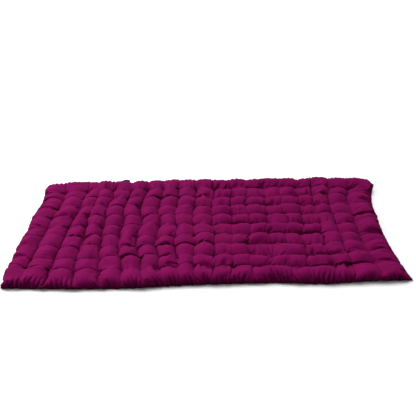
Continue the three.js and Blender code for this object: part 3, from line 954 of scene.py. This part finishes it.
def add_node(tree: bpy.types.NodeTree, kind: str, inputs: dict | None = None,
             **settings: object) -> bpy.types.Node:
    """Adds one shader node with its settings and links.

    Args:
        tree: The node tree.
        kind: The node's Blender name.
        inputs: A value or another node's output for each input, by name or number.
        settings: The node's own settings.

    Returns:
        The new node.
    """
    node = tree.nodes.new(kind)
    for name, value in settings.items():
        setattr(node, name, value)
    for socket, value in (inputs or {}).items():
        if isinstance(value, bpy.types.NodeSocket):
            tree.links.new(value, node.inputs[socket])
        else:
            node.inputs[socket].default_value = value
    return node


def new_material(name: str) -> tuple[bpy.types.Material, bpy.types.NodeTree]:
    """Makes a material with an empty node tree."""
    material = bpy.data.materials.new(name)
    material.use_nodes = True
    material.node_tree.nodes.clear()
    return material, material.node_tree


@dataclass(frozen=True)
class CottonCover:
    """Plain-weave dyed cotton: matt, with a soft bloom of fibre ends at grazing angles and faint slubs."""

    deep: str = "5a0438"
    bright: str = "76054c"
    bloom: str = "d873ac"
    thread_spacing: float = 1.5  # mm; the real 0.45 mm is too fine to show, so it is drawn coarser
    slub_length: float = 28.0  # mm
    mottle_size: float = 70.0  # mm
    roughness: float = 0.86
    ior: float = 1.46

    def material(self) -> bpy.types.Material:
        """Builds the material."""
        material, tree = new_material("dyed_plain_weave_cotton")
        cloth = add_node(tree, "ShaderNodeUVMap", uv_map="cloth").outputs["UV"]
        per_metre = 1000 / self.thread_spacing / 2
        threads = []
        for axis in ("X", "Y"):
            wave = add_node(tree, "ShaderNodeTexWave", {"Vector": cloth, "Scale": per_metre / 10 * math.pi,
                            "Distortion": 0.6, "Detail": 1.0, "Detail Scale": 0.5},
                            wave_type="BANDS", bands_direction=axis, wave_profile="SIN")
            threads.append(wave.outputs["Fac"])
        weave = add_node(tree, "ShaderNodeMath", {0: threads[0], 1: threads[1]},
                         operation="MAXIMUM").outputs[0]
        long_way = add_node(tree, "ShaderNodeMapping", {"Vector": cloth, "Scale": (1000 / self.slub_length,
                            1000 / self.thread_spacing / 3, 1.0)})
        slubs = add_node(tree, "ShaderNodeTexNoise", {"Vector": long_way.outputs[0], "Scale": 1.0,
                         "Detail": 2.0})
        mottle = add_node(tree, "ShaderNodeTexNoise", {"Vector": cloth, "Scale": 1000 / self.mottle_size,
                          "Detail": 3.0, "Roughness": 0.6})
        blend = add_node(tree, "ShaderNodeMath", {0: slubs.outputs["Fac"], 1: 0.35, 2: 0.12},
                         operation="MULTIPLY_ADD")
        share = add_node(tree, "ShaderNodeMath", {0: mottle.outputs["Fac"], 1: 0.65, 2: blend.outputs[0]},
                         operation="MULTIPLY_ADD")
        colour = add_node(tree, "ShaderNodeValToRGB", {"Fac": share.outputs[0]})
        low, high = colour.color_ramp.elements
        low.position, low.color = 0.32, linear_rgba(self.deep)
        high.position, high.color = 0.80, linear_rgba(self.bright)
        bump = add_node(tree, "ShaderNodeBump", {"Height": weave, "Strength": 0.35, "Distance": 0.25 * MM})
        shader = add_node(tree, "ShaderNodeBsdfPrincipled", {"Base Color": colour.outputs["Color"],
                          "Roughness": self.roughness, "IOR": self.ior, "Specular IOR Level": 0.06,
                          "Sheen Weight": 0.025, "Sheen Roughness": 0.45,
                          "Sheen Tint": linear_rgba(self.bloom), "Normal": bump.outputs[0]})
        add_node(tree, "ShaderNodeOutputMaterial", {"Surface": shader.outputs[0]})
        return material


@dataclass(frozen=True)
class StitchThread:
    """Twisted cotton thread dyed to match: a fine two-ply rope, with a little more shine than the cloth and a
    painted highlight, a paler copy of its colour, along each ply's crest.
    """

    colour: str = "6d0f47"
    # a paler copy of the thread colour: the painted highlight on the ply crests
    light: str = "8d2462"
    twist: float = 1.6  # mm from ply to ply
    roughness: float = 0.62

    def material(self) -> bpy.types.Material:
        """Builds the material."""
        material, tree = new_material("twisted_cotton_thread")
        place = add_node(tree, "ShaderNodeTexCoord").outputs["Object"]
        ply_relief_and_highlight = add_node(tree, "ShaderNodeTexWave", {"Vector": place, "Distortion": 1.0,
                         "Scale": 1000 / self.twist / 20 * math.pi},
                         wave_type="BANDS", bands_direction="DIAGONAL")
        # the ply wave sets both the bump and the colour, so the painted highlight lies on the ply crests and
        # the dyed colour in the grooves
        colour = add_node(tree, "ShaderNodeMix", {"Factor": ply_relief_and_highlight.outputs["Fac"], 6: linear_rgba(self.colour),
                          7: linear_rgba(self.light)}, data_type="RGBA")
        bump = add_node(tree, "ShaderNodeBump", {"Height": ply_relief_and_highlight.outputs["Fac"], "Strength": 0.5,
                        "Distance": 0.2 * MM})
        shader = add_node(tree, "ShaderNodeBsdfPrincipled", {"Base Color": colour.outputs[2],
                          "Roughness": self.roughness, "IOR": 1.5, "Normal": bump.outputs[0]})
        add_node(tree, "ShaderNodeOutputMaterial", {"Surface": shader.outputs[0]})
        return material


@dataclass(frozen=True)
class CardedBatting:
    """Carded cotton: off-white loose fibre, fully matt, with painted shade, a darker copy of its colour, in
    the hollows of its fibre relief.
    """

    pale: str = "efe8d8"
    # a darker copy of the batting colour: painted shade in the hollows of the fibre relief
    shade: str = "d6ccb6"
    fibre: float = 9.0  # mm

    def material(self) -> bpy.types.Material:
        """Builds the material."""
        material, tree = new_material("carded_cotton_batting")
        place = add_node(tree, "ShaderNodeTexCoord").outputs["Object"]
        fibre_relief_and_shade = add_node(tree, "ShaderNodeTexNoise", {"Vector": place, "Scale": 1000 / self.fibre,
                          "Detail": 6.0, "Distortion": 1.5})
        # the fibre noise sets both the bump and the colour, so the painted shade lies in the hollows and the
        # pale colour on the tops
        colour = add_node(tree, "ShaderNodeMix", {"Factor": fibre_relief_and_shade.outputs["Fac"], 6: linear_rgba(self.shade),
                          7: linear_rgba(self.pale)}, data_type="RGBA")
        bump = add_node(tree, "ShaderNodeBump", {"Height": fibre_relief_and_shade.outputs["Fac"], "Strength": 0.8,
                        "Distance": 2 * MM})
        shader = add_node(tree, "ShaderNodeBsdfPrincipled", {"Base Color": colour.outputs[2],
                          "Roughness": 1.0, "Sheen Weight": 0.3, "Normal": bump.outputs[0]})
        add_node(tree, "ShaderNodeOutputMaterial", {"Surface": shader.outputs[0]})
        return material


@dataclass(frozen=True)
class SatinTab:
    """Woven satin ribbon: blue-grey, smooth, with fine lengthwise floats; its soft shine is its fairly low
    roughness and a painted highlight, a paler copy of its colour, along each float's crest.
    """

    colour: str = "b4aecb"
    # a paler copy of the ribbon colour: the painted highlight on the float crests
    light: str = "cbc6dd"
    float_spacing: float = 1.2  # mm; drawn coarser than the real 0.3 mm
    roughness: float = 0.42

    def material(self) -> bpy.types.Material:
        """Builds the material."""
        material, tree = new_material("woven_satin_tab")
        place = add_node(tree, "ShaderNodeTexCoord").outputs["Object"]
        floats = add_node(tree, "ShaderNodeTexWave", {"Vector": place, "Distortion": 0.4,
                          "Scale": 1000 / self.float_spacing / 20 * math.pi},
                          wave_type="BANDS", bands_direction="X")
        # the float bands set both the bump and the colour, so the painted highlight lies on the float crests
        colour = add_node(tree, "ShaderNodeMix", {"Factor": floats.outputs["Fac"],
                          6: linear_rgba(self.colour), 7: linear_rgba(self.light)}, data_type="RGBA")
        bump = add_node(tree, "ShaderNodeBump", {"Height": floats.outputs["Fac"], "Strength": 0.3,
                        "Distance": 0.1 * MM})
        shader = add_node(tree, "ShaderNodeBsdfPrincipled", {"Base Color": colour.outputs[2],
                          "Roughness": self.roughness, "IOR": 1.5, "Normal": bump.outputs[0]})
        add_node(tree, "ShaderNodeOutputMaterial", {"Surface": shader.outputs[0]})
        return material


def dress(piece: bpy.types.Object, material: bpy.types.Material, slot: Slot, *nodes: str) -> None:
    """Gives a piece its material and its body, and hides the imported nodes that it stands for."""
    piece.data.materials.append(material)
    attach(piece, BODY)
    if nodes:
        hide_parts(*nodes)


# ---------------------------------------------------------------- sub-assemblies


@dataclass
class Cover:
    """The bag: an upper and a lower panel."""

    layout: QuiltLayout
    upper_rounds: tuple[int, ...] = (300, 220, 220)
    lower_rounds: tuple[int, ...] = (160, 90)
    coarse_step: float = 0.0150
    edge_height: float = 0.006
    upper: ClothPanel = field(init=False)
    lower: ClothPanel = field(init=False)

    def build(self, finish: bpy.types.Material) -> list[bpy.types.Object]:
        """Settles both panels and dresses them.

        Args:
            finish: The cloth's material.

        Returns:
            The upper and the lower panel.
        """
        upper_rounds = self.upper_rounds
        self.upper = ClothPanel(self.layout, PanelSettings(
            side=Side.UPPER, tuft_height=0.022, tuft_spread=0.005, crown=0.070, coarse_step=self.coarse_step,
            rounds=upper_rounds, stiffness=(0.30, 0.14, 0.035), push=2.0, seed=11, rucks=Rucks(),
            edge_height=self.edge_height))
        self.upper.settle()
        self.lower = ClothPanel(self.layout, PanelSettings(
            side=Side.LOWER, tuft_height=0.009, tuft_spread=0.002, crown=0.014, coarse_step=self.coarse_step,
            rounds=self.lower_rounds, stiffness=(0.30, 0.25), push=1.0, seed=23, cloth_share=1.03,
            crease_load=0.3, edge_height=self.edge_height))
        self.lower.settle()
        upper_piece = self.upper.build("upper_cover_panel")
        dress(upper_piece, finish, Slot.COVER, "top_cover_panel")
        lower_piece = self.lower.build("lower_cover_panel")
        dress(lower_piece, finish, Slot.COVER, "bottom_cover_panel")
        return [upper_piece, lower_piece]

    def edge_path(self) -> np.ndarray:
        """The edge of the upper panel, as a closed loop, anticlockwise from above."""
        nodes = np.moveaxis(self.upper.nodes, 0, -1)
        sides = (nodes[:-1, 0], nodes[-1, :-1], nodes[:0:-1, -1], nodes[0, :0:-1])
        return np.concatenate(sides).astype(float)

    def tuft(self, column: int, row: int, panel: ClothPanel) -> np.ndarray:
        """Where one panel's cloth is at a crossing of two lines."""
        return panel.nodes[:, panel.grid.line[0][column], panel.grid.line[1][row]].astype(float)

    def underside(self, start: tuple[int, int], end: tuple[int, int]) -> np.ndarray:
        """The lower panel's nodes between two neighbouring crossings, without the crossings."""
        panel = self.lower
        lines_x, lines_y = panel.grid.line
        (i, j), (k, m) = ((lines_x[column], lines_y[row]) for column, row in (start, end))
        count = max(abs(k - i), abs(m - j))
        along = np.linspace(i, k, count + 1)[1:-1].round().astype(int)
        across = np.linspace(j, m, count + 1)[1:-1].round().astype(int)
        return panel.nodes[:, along, across].T.astype(float)


@dataclass
class Batting:
    """Three sheets of carded cotton, which lie between the panels and follow them."""

    cover: Cover
    names: tuple[str, ...] = ("batting_sheet_lower", "batting_sheet_middle", "batting_sheet_upper")
    step: float = 0.014
    inset: float = 0.034
    cloth_gap: float = 0.0034
    sheet_gap: float = 0.0004
    cell: float = 0.006
    least_half: float = 0.0013

    def build(self, finish: bpy.types.Material) -> list[bpy.types.Object]:
        """Makes and dresses the sheets.

        Args:
            finish: The batting's material.

        Returns:
            The sheets, from the lowest up.
        """
        sheets = []
        layout = self.cover.layout
        reach_x, reach_y = layout.half_length - self.inset, layout.half_width - self.inset
        neat = (np.linspace(-reach, reach, round(2 * reach / self.step)) for reach in (reach_x, reach_y))
        x, y = layout.warp(*np.meshgrid(*neat, indexing="ij"))
        top = self.nearest(self.cover.upper.nodes, x, y, np.minimum, 9.0) - self.cloth_gap
        bottom = self.nearest(self.cover.lower.nodes, x, y, np.maximum, -9.0) + self.cloth_gap
        middle, half = (top + bottom) / 2, np.maximum((top - bottom) / 2, self.least_half)
        top, bottom = middle + half, middle - half
        for number, name in enumerate(self.names):
            low = bottom + (top - bottom) * number / len(self.names) + self.sheet_gap
            high = bottom + (top - bottom) * (number + 1) / len(self.names) - self.sheet_gap
            slab = closed_slab(np.stack([x, y, low]), np.stack([x, y, high]))
            piece = mesh_object("carded_" + name, *slab)
            dress(piece, finish, Slot.BATTING, name)
            sheets.append(piece)
        return sheets

    def nearest(self, nodes: np.ndarray, x: np.ndarray, y: np.ndarray, pick: np.ufunc,
                empty: float) -> np.ndarray:
        """Finds the innermost height of the cloth round each place.

        Args:
            nodes: The cloth's nodes.
            x: The places along the length.
            y: The places along the width.
            pick: Which height counts as the innermost, the least or the greatest.
            empty: The height that counts as none.

        Returns:
            The height at each place.
        """
        start = nodes[:2].min(axis=(1, 2)) - 4 * self.cell
        size = ((nodes[:2].max(axis=(1, 2)) - start) / self.cell).astype(int) + 5
        heights = np.full(tuple(size), empty)
        at = ((nodes[:2] - start[:, None, None]) / self.cell).astype(int)
        pick.at(heights, (at[0], at[1]), nodes[2])
        for _ in range(2):
            for axis in (0, 1):
                heights = pick(pick(heights, np.roll(heights, 1, axis)), np.roll(heights, -1, axis))
        return heights[((x - start[0]) / self.cell).astype(int), ((y - start[1]) / self.cell).astype(int)]


@dataclass
class EdgeSeam:
    """The sewn edge: a flat lip round the bag, running stitches, and whip stitches where it was closed."""

    cover: Cover
    lip_half_width: float = 0.0026
    lip_half_height: float = 0.0011
    lip_out: float = 0.0014
    thread: float = 0.0003
    stitch: float = 0.0065
    whip_pitch: float = 0.009
    step: float = 0.006
    end_reach: float = 0.030
    middle: np.ndarray = field(init=False)
    outward: np.ndarray = field(init=False)

    def build(self, cloth: bpy.types.Material, thread: bpy.types.Material) -> list[bpy.types.Object]:
        """Makes and dresses the lip and its stitches.

        Args:
            cloth: The cover's material.
            thread: The stitches' material.

        Returns:
            The lip, the running stitches and the whip stitches.
        """
        path = even_steps(self.cover.edge_path(), self.step, closed=True)
        ahead = np.roll(path, -1, 0) - np.roll(path, 1, 0)
        ahead[:, 2] = 0
        ahead /= np.maximum(np.linalg.norm(ahead, axis=1, keepdims=True), 1e-9)
        outward = np.stack([ahead[:, 1], -ahead[:, 0], np.zeros(len(path))], axis=1)
        self.middle = path + self.lip_out * outward
        self.outward = outward
        section = round_section(self.lip_half_width, self.lip_half_height, 10)
        lip = mesh_object("edge_seam_lip", *swept_tube(self.middle, section, closed=True, level=True))
        round_it = np.linspace(0, 4 * self.lip_half_width, len(section))
        cloth_map = np.stack(np.meshgrid(np.arange(len(path)) * self.step, round_it, indexing="ij"), axis=-1)
        add_uv(lip, "cloth", cloth_map.reshape(-1, 2))
        dress(lip, cloth, Slot.COVER)
        return [lip, self.running(thread), self.whipped(thread)]

    def running(self, thread: bpy.types.Material) -> bpy.types.Object:
        """Sews the lip with a running stitch, over and under in turn.

        Args:
            thread: The stitches' material.

        Returns:
            The stitches, as one piece.
        """
        path = even_steps(self.middle, self.stitch / 4, closed=True)
        stitch_pairs = len(path) // 8
        turn = np.arange(len(path)) * (2 * math.pi * stitch_pairs / len(path))
        lift = np.clip(1.6 * np.sin(turn), -1, 1) * (self.lip_half_height + 0.6 * self.thread)
        path[:, 2] += lift
        tube = swept_tube(path, round_section(self.thread, self.thread, 6), closed=True)
        piece = mesh_object("edge_seam_stitches", *tube)
        dress(piece, thread, Slot.THREAD, "edge_seam_thread")
        return piece

    def whipped(self, thread: bpy.types.Material) -> bpy.types.Object:
        """Closes the right end with slanting stitches round the lip.

        Args:
            thread: The stitches' material.

        Returns:
            The stitches, as one piece.
        """
        low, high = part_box("closing_seam_thread")
        x, y, _ = self.middle.T
        at_end = (x > low.x - self.end_reach) & (y > low.y) & (y < high.y)
        steps = 10  # to one turn of the thread
        outward = self.outward[at_end]
        middle = even_steps(self.middle[at_end], self.whip_pitch / steps, closed=False)
        share, known = np.linspace(0, len(outward) - 1, len(middle)), np.arange(len(outward))
        outward = np.stack([np.interp(share, known, column) for column in outward.T], axis=1)
        turn = np.arange(len(middle)) * (2 * math.pi / steps)
        reach = self.lip_half_width + self.thread
        path = middle + outward * (np.cos(turn) * reach)[:, None]
        path[:, 2] += np.sin(turn) * (self.lip_half_height + self.thread)
        tube = swept_tube(path, round_section(self.thread, self.thread, 6), closed=False)
        piece = mesh_object("closing_whip_stitches", *tube)
        dress(piece, thread, Slot.THREAD, "closing_seam_thread")
        return piece


@dataclass
class QuiltingThreads:
    """The threads that pull the panels together: a short stitch over each tuft, long floats underneath."""

    cover: Cover
    radius: float = 0.0007
    half_stitch: float = 0.0040
    knot_radius: float = 0.0022

    def build(self, finish: bpy.types.Material) -> list[bpy.types.Object]:
        """Makes and dresses each thread.

        Args:
            finish: The threads' material.

        Returns:
            The two rings and then the lines between them.
        """
        layout, threads = self.cover.layout, []
        last_column, last_row = len(layout.column_lines) - 1, len(layout.row_lines) - 1
        for ring, name in enumerate(("border_quilting_thread_outer", "border_quilting_thread_inner")):
            low, right, back = ring, last_column - ring, last_row - ring
            route = [(column, low) for column in range(low, right)]
            route += [(right, row) for row in range(low, back)]
            route += [(column, back) for column in range(right, low, -1)]
            route += [(low, row) for row in range(back, low, -1)]
            threads.append(self.sew(name, route, finish, closed=True))
        for number, row in enumerate(range(2, last_row - 1)):
            route = [(column, row) for column in range(2, last_column - 1)]
            threads.append(self.sew(f"field_quilting_thread_{number + 1}", route, finish, closed=False))
        return threads

    def sew(self, name: str, route: list[tuple[int, int]], finish: bpy.types.Material,
            closed: bool) -> bpy.types.Object:
        """Makes one thread along its route of tufts.

        Args:
            name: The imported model's node that it stands for.
            route: The column and the row of each tuft in turn.
            finish: Its material.
            closed: Whether the route comes back to its start.

        Returns:
            The thread.
        """
        cover, points = self.cover, []
        for number, here in enumerate(route):
            ahead = route[(number + 1) % len(route)]
            behind = route[number - 1]
            top, under = cover.tuft(*here, cover.upper), cover.tuft(*here, cover.lower)
            goes_on = closed or number < len(route) - 1
            going = self.heading(here, ahead) if goes_on else self.heading(behind, here)
            coming = self.heading(behind, here) if closed or number > 0 else going
            lift, drop = np.array([0, 0, self.radius * 0.8]), np.array([0, 0, -self.radius * 0.8])
            entry, leave = -coming * self.half_stitch, going * self.half_stitch
            # up beside the tuft, over it, and down again: shares of half a stitch and of the thread's lift
            points += [under + entry * 1.15 + drop, (top + under) / 2 + entry, top + entry * 1.05,
                       top + entry * 0.7 + lift, top + lift * 1.6, top + leave * 0.7 + lift,
                       top + leave * 1.05, (top + under) / 2 + leave, under + leave * 1.15 + drop]
            if goes_on:
                points += list(cover.underside(here, ahead) + drop)
        path = even_steps(np.array(points), 0.0016, closed)
        tube = swept_tube(path, round_section(self.radius, self.radius, 6), closed=closed)
        knots = [self.knot(cover.tuft(*route[0], cover.lower))]
        if not closed:
            knots.append(self.knot(cover.tuft(*route[-1], cover.lower)))
        piece = mesh_object(name.replace("thread", "stitches"), *merged([tube, *knots]))
        dress(piece, finish, Slot.THREAD, name)
        return piece

    def heading(self, start: tuple[int, int], end: tuple[int, int]) -> np.ndarray:
        """The level direction from one tuft to another."""
        way = self.cover.tuft(*end, self.cover.upper) - self.cover.tuft(*start, self.cover.upper)
        way[2] = 0
        return way / max(np.linalg.norm(way), 1e-9)

    def knot(self, place: np.ndarray) -> tuple[np.ndarray, np.ndarray]:
        """Ties a small overhand knot under a tuft."""
        turn = np.linspace(0, 2 * math.pi, 40, endpoint=False)
        reach = self.knot_radius * (0.55 + 0.3 * np.cos(3 * turn))
        path = place + np.stack([reach * np.cos(2 * turn), reach * np.sin(2 * turn),
                                 0.4 * self.knot_radius * np.sin(3 * turn) - self.knot_radius * 0.9], axis=1)
        return swept_tube(path, round_section(self.radius, self.radius, 6), closed=True)


@dataclass
class SideTab:
    """A blank woven tab, sewn into the back seam and standing up behind the back roll."""

    cover: Cover
    width: float = 0.042
    thickness: float = 0.0008
    length: float = 0.060
    sewn_down: float = 0.044
    roll_height: float = 0.054
    gap: float = 0.0018
    drift: float = 0.016
    curl: float = 0.0016
    sway: float = 0.0012

    def build(self, finish: bpy.types.Material) -> list[bpy.types.Object]:
        """Makes and dresses the tab.

        Args:
            finish: The tab's material.

        Returns:
            The tab.
        """
        low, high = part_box("side_label")
        middle = (low.x + high.x) / 2 + self.drift
        upper = self.cover.upper
        beside = np.abs(upper.nodes[0, :, -1] - middle) < self.width / 2 + 0.004
        back_y, back_z = upper.nodes[1:, beside, -60:].reshape(2, -1).astype(float)
        heights = np.linspace(upper.settings.edge_height, self.roll_height, 16)
        outermost = np.array([back_y[np.abs(back_z - height) < 0.005].max() for height in heights])
        outermost = np.convolve(np.pad(outermost, 2, mode="edge"), np.full(5, 0.2), mode="valid")
        line = np.stack([outermost + self.gap, heights], axis=1)
        length = np.concatenate([[0], np.cumsum(np.linalg.norm(np.diff(line, axis=0), axis=1))])
        at = np.linspace(0, self.length, 26)
        held = np.minimum(at, self.sewn_down)
        path = np.stack([np.interp(held, length, column) for column in line.T], axis=1)
        follows = int(np.searchsorted(at, self.sewn_down))
        way = path[follows - 1] - path[follows - 3]
        path += np.maximum(at - self.sewn_down, 0)[:, None] * way / max(np.linalg.norm(way), 1e-9)
        across = np.linspace(-0.5, 0.5, 12)
        sheet = np.zeros((2, len(path), len(across), 3))
        for face, shift in enumerate((0.0, self.thickness)):
            sway = self.sway * np.sin(at / 0.011)[:, None]
            sheet[face, :, :, 0] = middle + across[None, :] * self.width + sway
            curl = self.curl * np.cos(across * 5.5)[None, :] * (at / self.length)[:, None]
            sheet[face, :, :, 1] = path[:, :1] + shift + curl
            sheet[face, :, :, 2] = path[:, 1:] + shift * 0.4 + curl * 0.5
        faces = (np.moveaxis(sheet[0], -1, 0), np.moveaxis(sheet[1], -1, 0))
        slab = mesh_object("blank_side_tab", *closed_slab(*faces))
        dress(slab, finish, Slot.LABEL, "side_label")
        return [slab]


@dataclass
class Studio:
    """The pale floor, the soft lights and the camera."""

    floor_size: float = 60.0
    floor_colour: str = "f4f4f4"
    floor_bounce: str = "8c8c8c"  # what the floor throws back at the low faces, less than it shows
    camera_place: tuple[float, float, float] = (0.113, -2.607, 1.915)
    camera_turn: float = -2.2  # degrees to the right of +Y
    camera_tilt: float = 34.06  # degrees below the horizon
    camera_roll: float = -2.2  # degrees
    lens: float = 50.99  # mm on a 36 mm sensor
    fill_from: tuple[float, float, float] = (-0.25, 0.50, 1.0)
    fill_low: float = 0.0
    fill_high: float = 1.06
    wall_colour: str = "f6f6f6"
    side_watts: float = 52.0
    side_place: tuple[float, float, float] = (-2.4, 0.5, 2.0)
    side_aim: tuple[float, float, float] = (-0.6, 0.0, 0.0)
    side_size: float = 1.6
    key: float = 1.7
    key_spread: float = 40.0  # degrees
    key_from: tuple[float, float, float] = (-0.20, 0.30, 1.0)

    def build(self) -> None:
        """Makes the floor, the lights and the camera."""
        half = self.floor_size / 2
        corners = np.array([[-half, -half, 0], [half, -half, 0], [half, half, 0], [-half, half, 0]])
        floor = mesh_object("studio_floor", corners, np.array([[0, 1, 2, 3]]), smooth=False)
        material, tree = new_material("pale_studio_floor")
        bounce, shown = (add_node(tree, "ShaderNodeBsdfPrincipled", {"Base Color": linear_rgba(colour),
                                  "Roughness": 0.9, "Specular IOR Level": 0.1}).outputs[0]
                         for colour in (self.floor_bounce, self.floor_colour))
        seen = add_node(tree, "ShaderNodeLightPath").outputs["Is Camera Ray"]
        both = add_node(tree, "ShaderNodeMixShader", {0: seen, 1: bounce, 2: shown})
        add_node(tree, "ShaderNodeOutputMaterial", {"Surface": both.outputs[0]})
        floor.data.materials.append(material)
        self.light_room()
        self.place_camera()
        bpy.context.scene.view_settings.view_transform = "Standard"

    def light_room(self) -> None:
        """Lights the room softly from above and behind, with a broad overhead light and a box on the left."""
        world = bpy.data.worlds.new("studio")
        world.use_nodes = True
        world.node_tree.nodes.clear()
        tree = world.node_tree
        way = add_node(tree, "ShaderNodeTexCoord").outputs["Generated"]
        toward = tuple(Vector(self.fill_from).normalized())
        nearness = add_node(tree, "ShaderNodeVectorMath", {0: way, 1: toward},
                            operation="DOT_PRODUCT").outputs["Value"]
        strength = add_node(tree, "ShaderNodeMapRange", {"Value": nearness, "From Min": 0.0, "From Max": 1.0,
                            "To Min": self.fill_low, "To Max": self.fill_high}).outputs[0]
        fill = add_node(tree, "ShaderNodeBackground", {"Color": (1, 1, 1, 1), "Strength": strength})
        wall = add_node(tree, "ShaderNodeBackground", {"Color": linear_rgba(self.wall_colour)})
        seen = add_node(tree, "ShaderNodeLightPath").outputs["Is Camera Ray"]
        both = add_node(tree, "ShaderNodeMixShader", {0: seen, 1: fill.outputs[0], 2: wall.outputs[0]})
        add_node(tree, "ShaderNodeOutputWorld", {"Surface": both.outputs[0]})
        bpy.context.scene.world = world
        lamp = bpy.data.lights.new("overhead_soft_light", "SUN")
        lamp.energy, lamp.angle = self.key, math.radians(self.key_spread)
        holder = bpy.data.objects.new("overhead_soft_light", lamp)
        holder.rotation_euler = (-Vector(self.key_from)).to_track_quat("-Z", "Y").to_euler()
        bpy.context.scene.collection.objects.link(holder)
        side = bpy.data.lights.new("left_soft_box", "AREA")
        side.shape, side.size, side.energy = "SQUARE", self.side_size, self.side_watts
        box = bpy.data.objects.new("left_soft_box", side)
        box.location = self.side_place
        box.rotation_euler = (Vector(self.side_aim) - box.location).to_track_quat("-Z", "Y").to_euler()
        bpy.context.scene.collection.objects.link(box)

    def place_camera(self) -> None:
        """Puts the camera at the view's place and angle."""
        turn, tilt, roll = (math.radians(a) for a in (self.camera_turn, self.camera_tilt, self.camera_roll))
        camera = bpy.data.cameras.new("view_camera")
        camera.lens, camera.sensor_width = self.lens, 36.0
        holder = bpy.data.objects.new("view_camera", camera)
        holder.location = self.camera_place
        upright = Matrix.Rotation(-turn, 4, "Z") @ Matrix.Rotation(math.pi / 2 - tilt, 4, "X")
        holder.matrix_world = Matrix.Translation(self.camera_place) @ upright @ Matrix.Rotation(roll, 4, "Z")
        bpy.context.scene.collection.objects.link(holder)
        bpy.context.scene.camera = holder


def report(part: str, pieces: list[bpy.types.Object]) -> None:
    """Logs each piece of a sub-assembly with its number of faces."""
    for piece in pieces:
        LOG.info("%s: %s, %d faces", part, piece.name, len(piece.data.polygons))


def main() -> None:
    """Builds the mattress and the studio."""
    logging.basicConfig(level=logging.INFO, format="%(name)s: %(message)s")
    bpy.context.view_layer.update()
    Studio().build()
    layout = QuiltLayout()
    cover = Cover(layout)
    cotton, thread = CottonCover().material(), StitchThread().material()
    report("cover", cover.build(cotton))
    report("batting", Batting(cover).build(CardedBatting().material()))
    report("edge seam", EdgeSeam(cover).build(cotton, thread))
    report("quilting", QuiltingThreads(cover).build(thread))
    report("tab", SideTab(cover).build(SatinTab().material()))


if __name__ == "__main__":
    main()
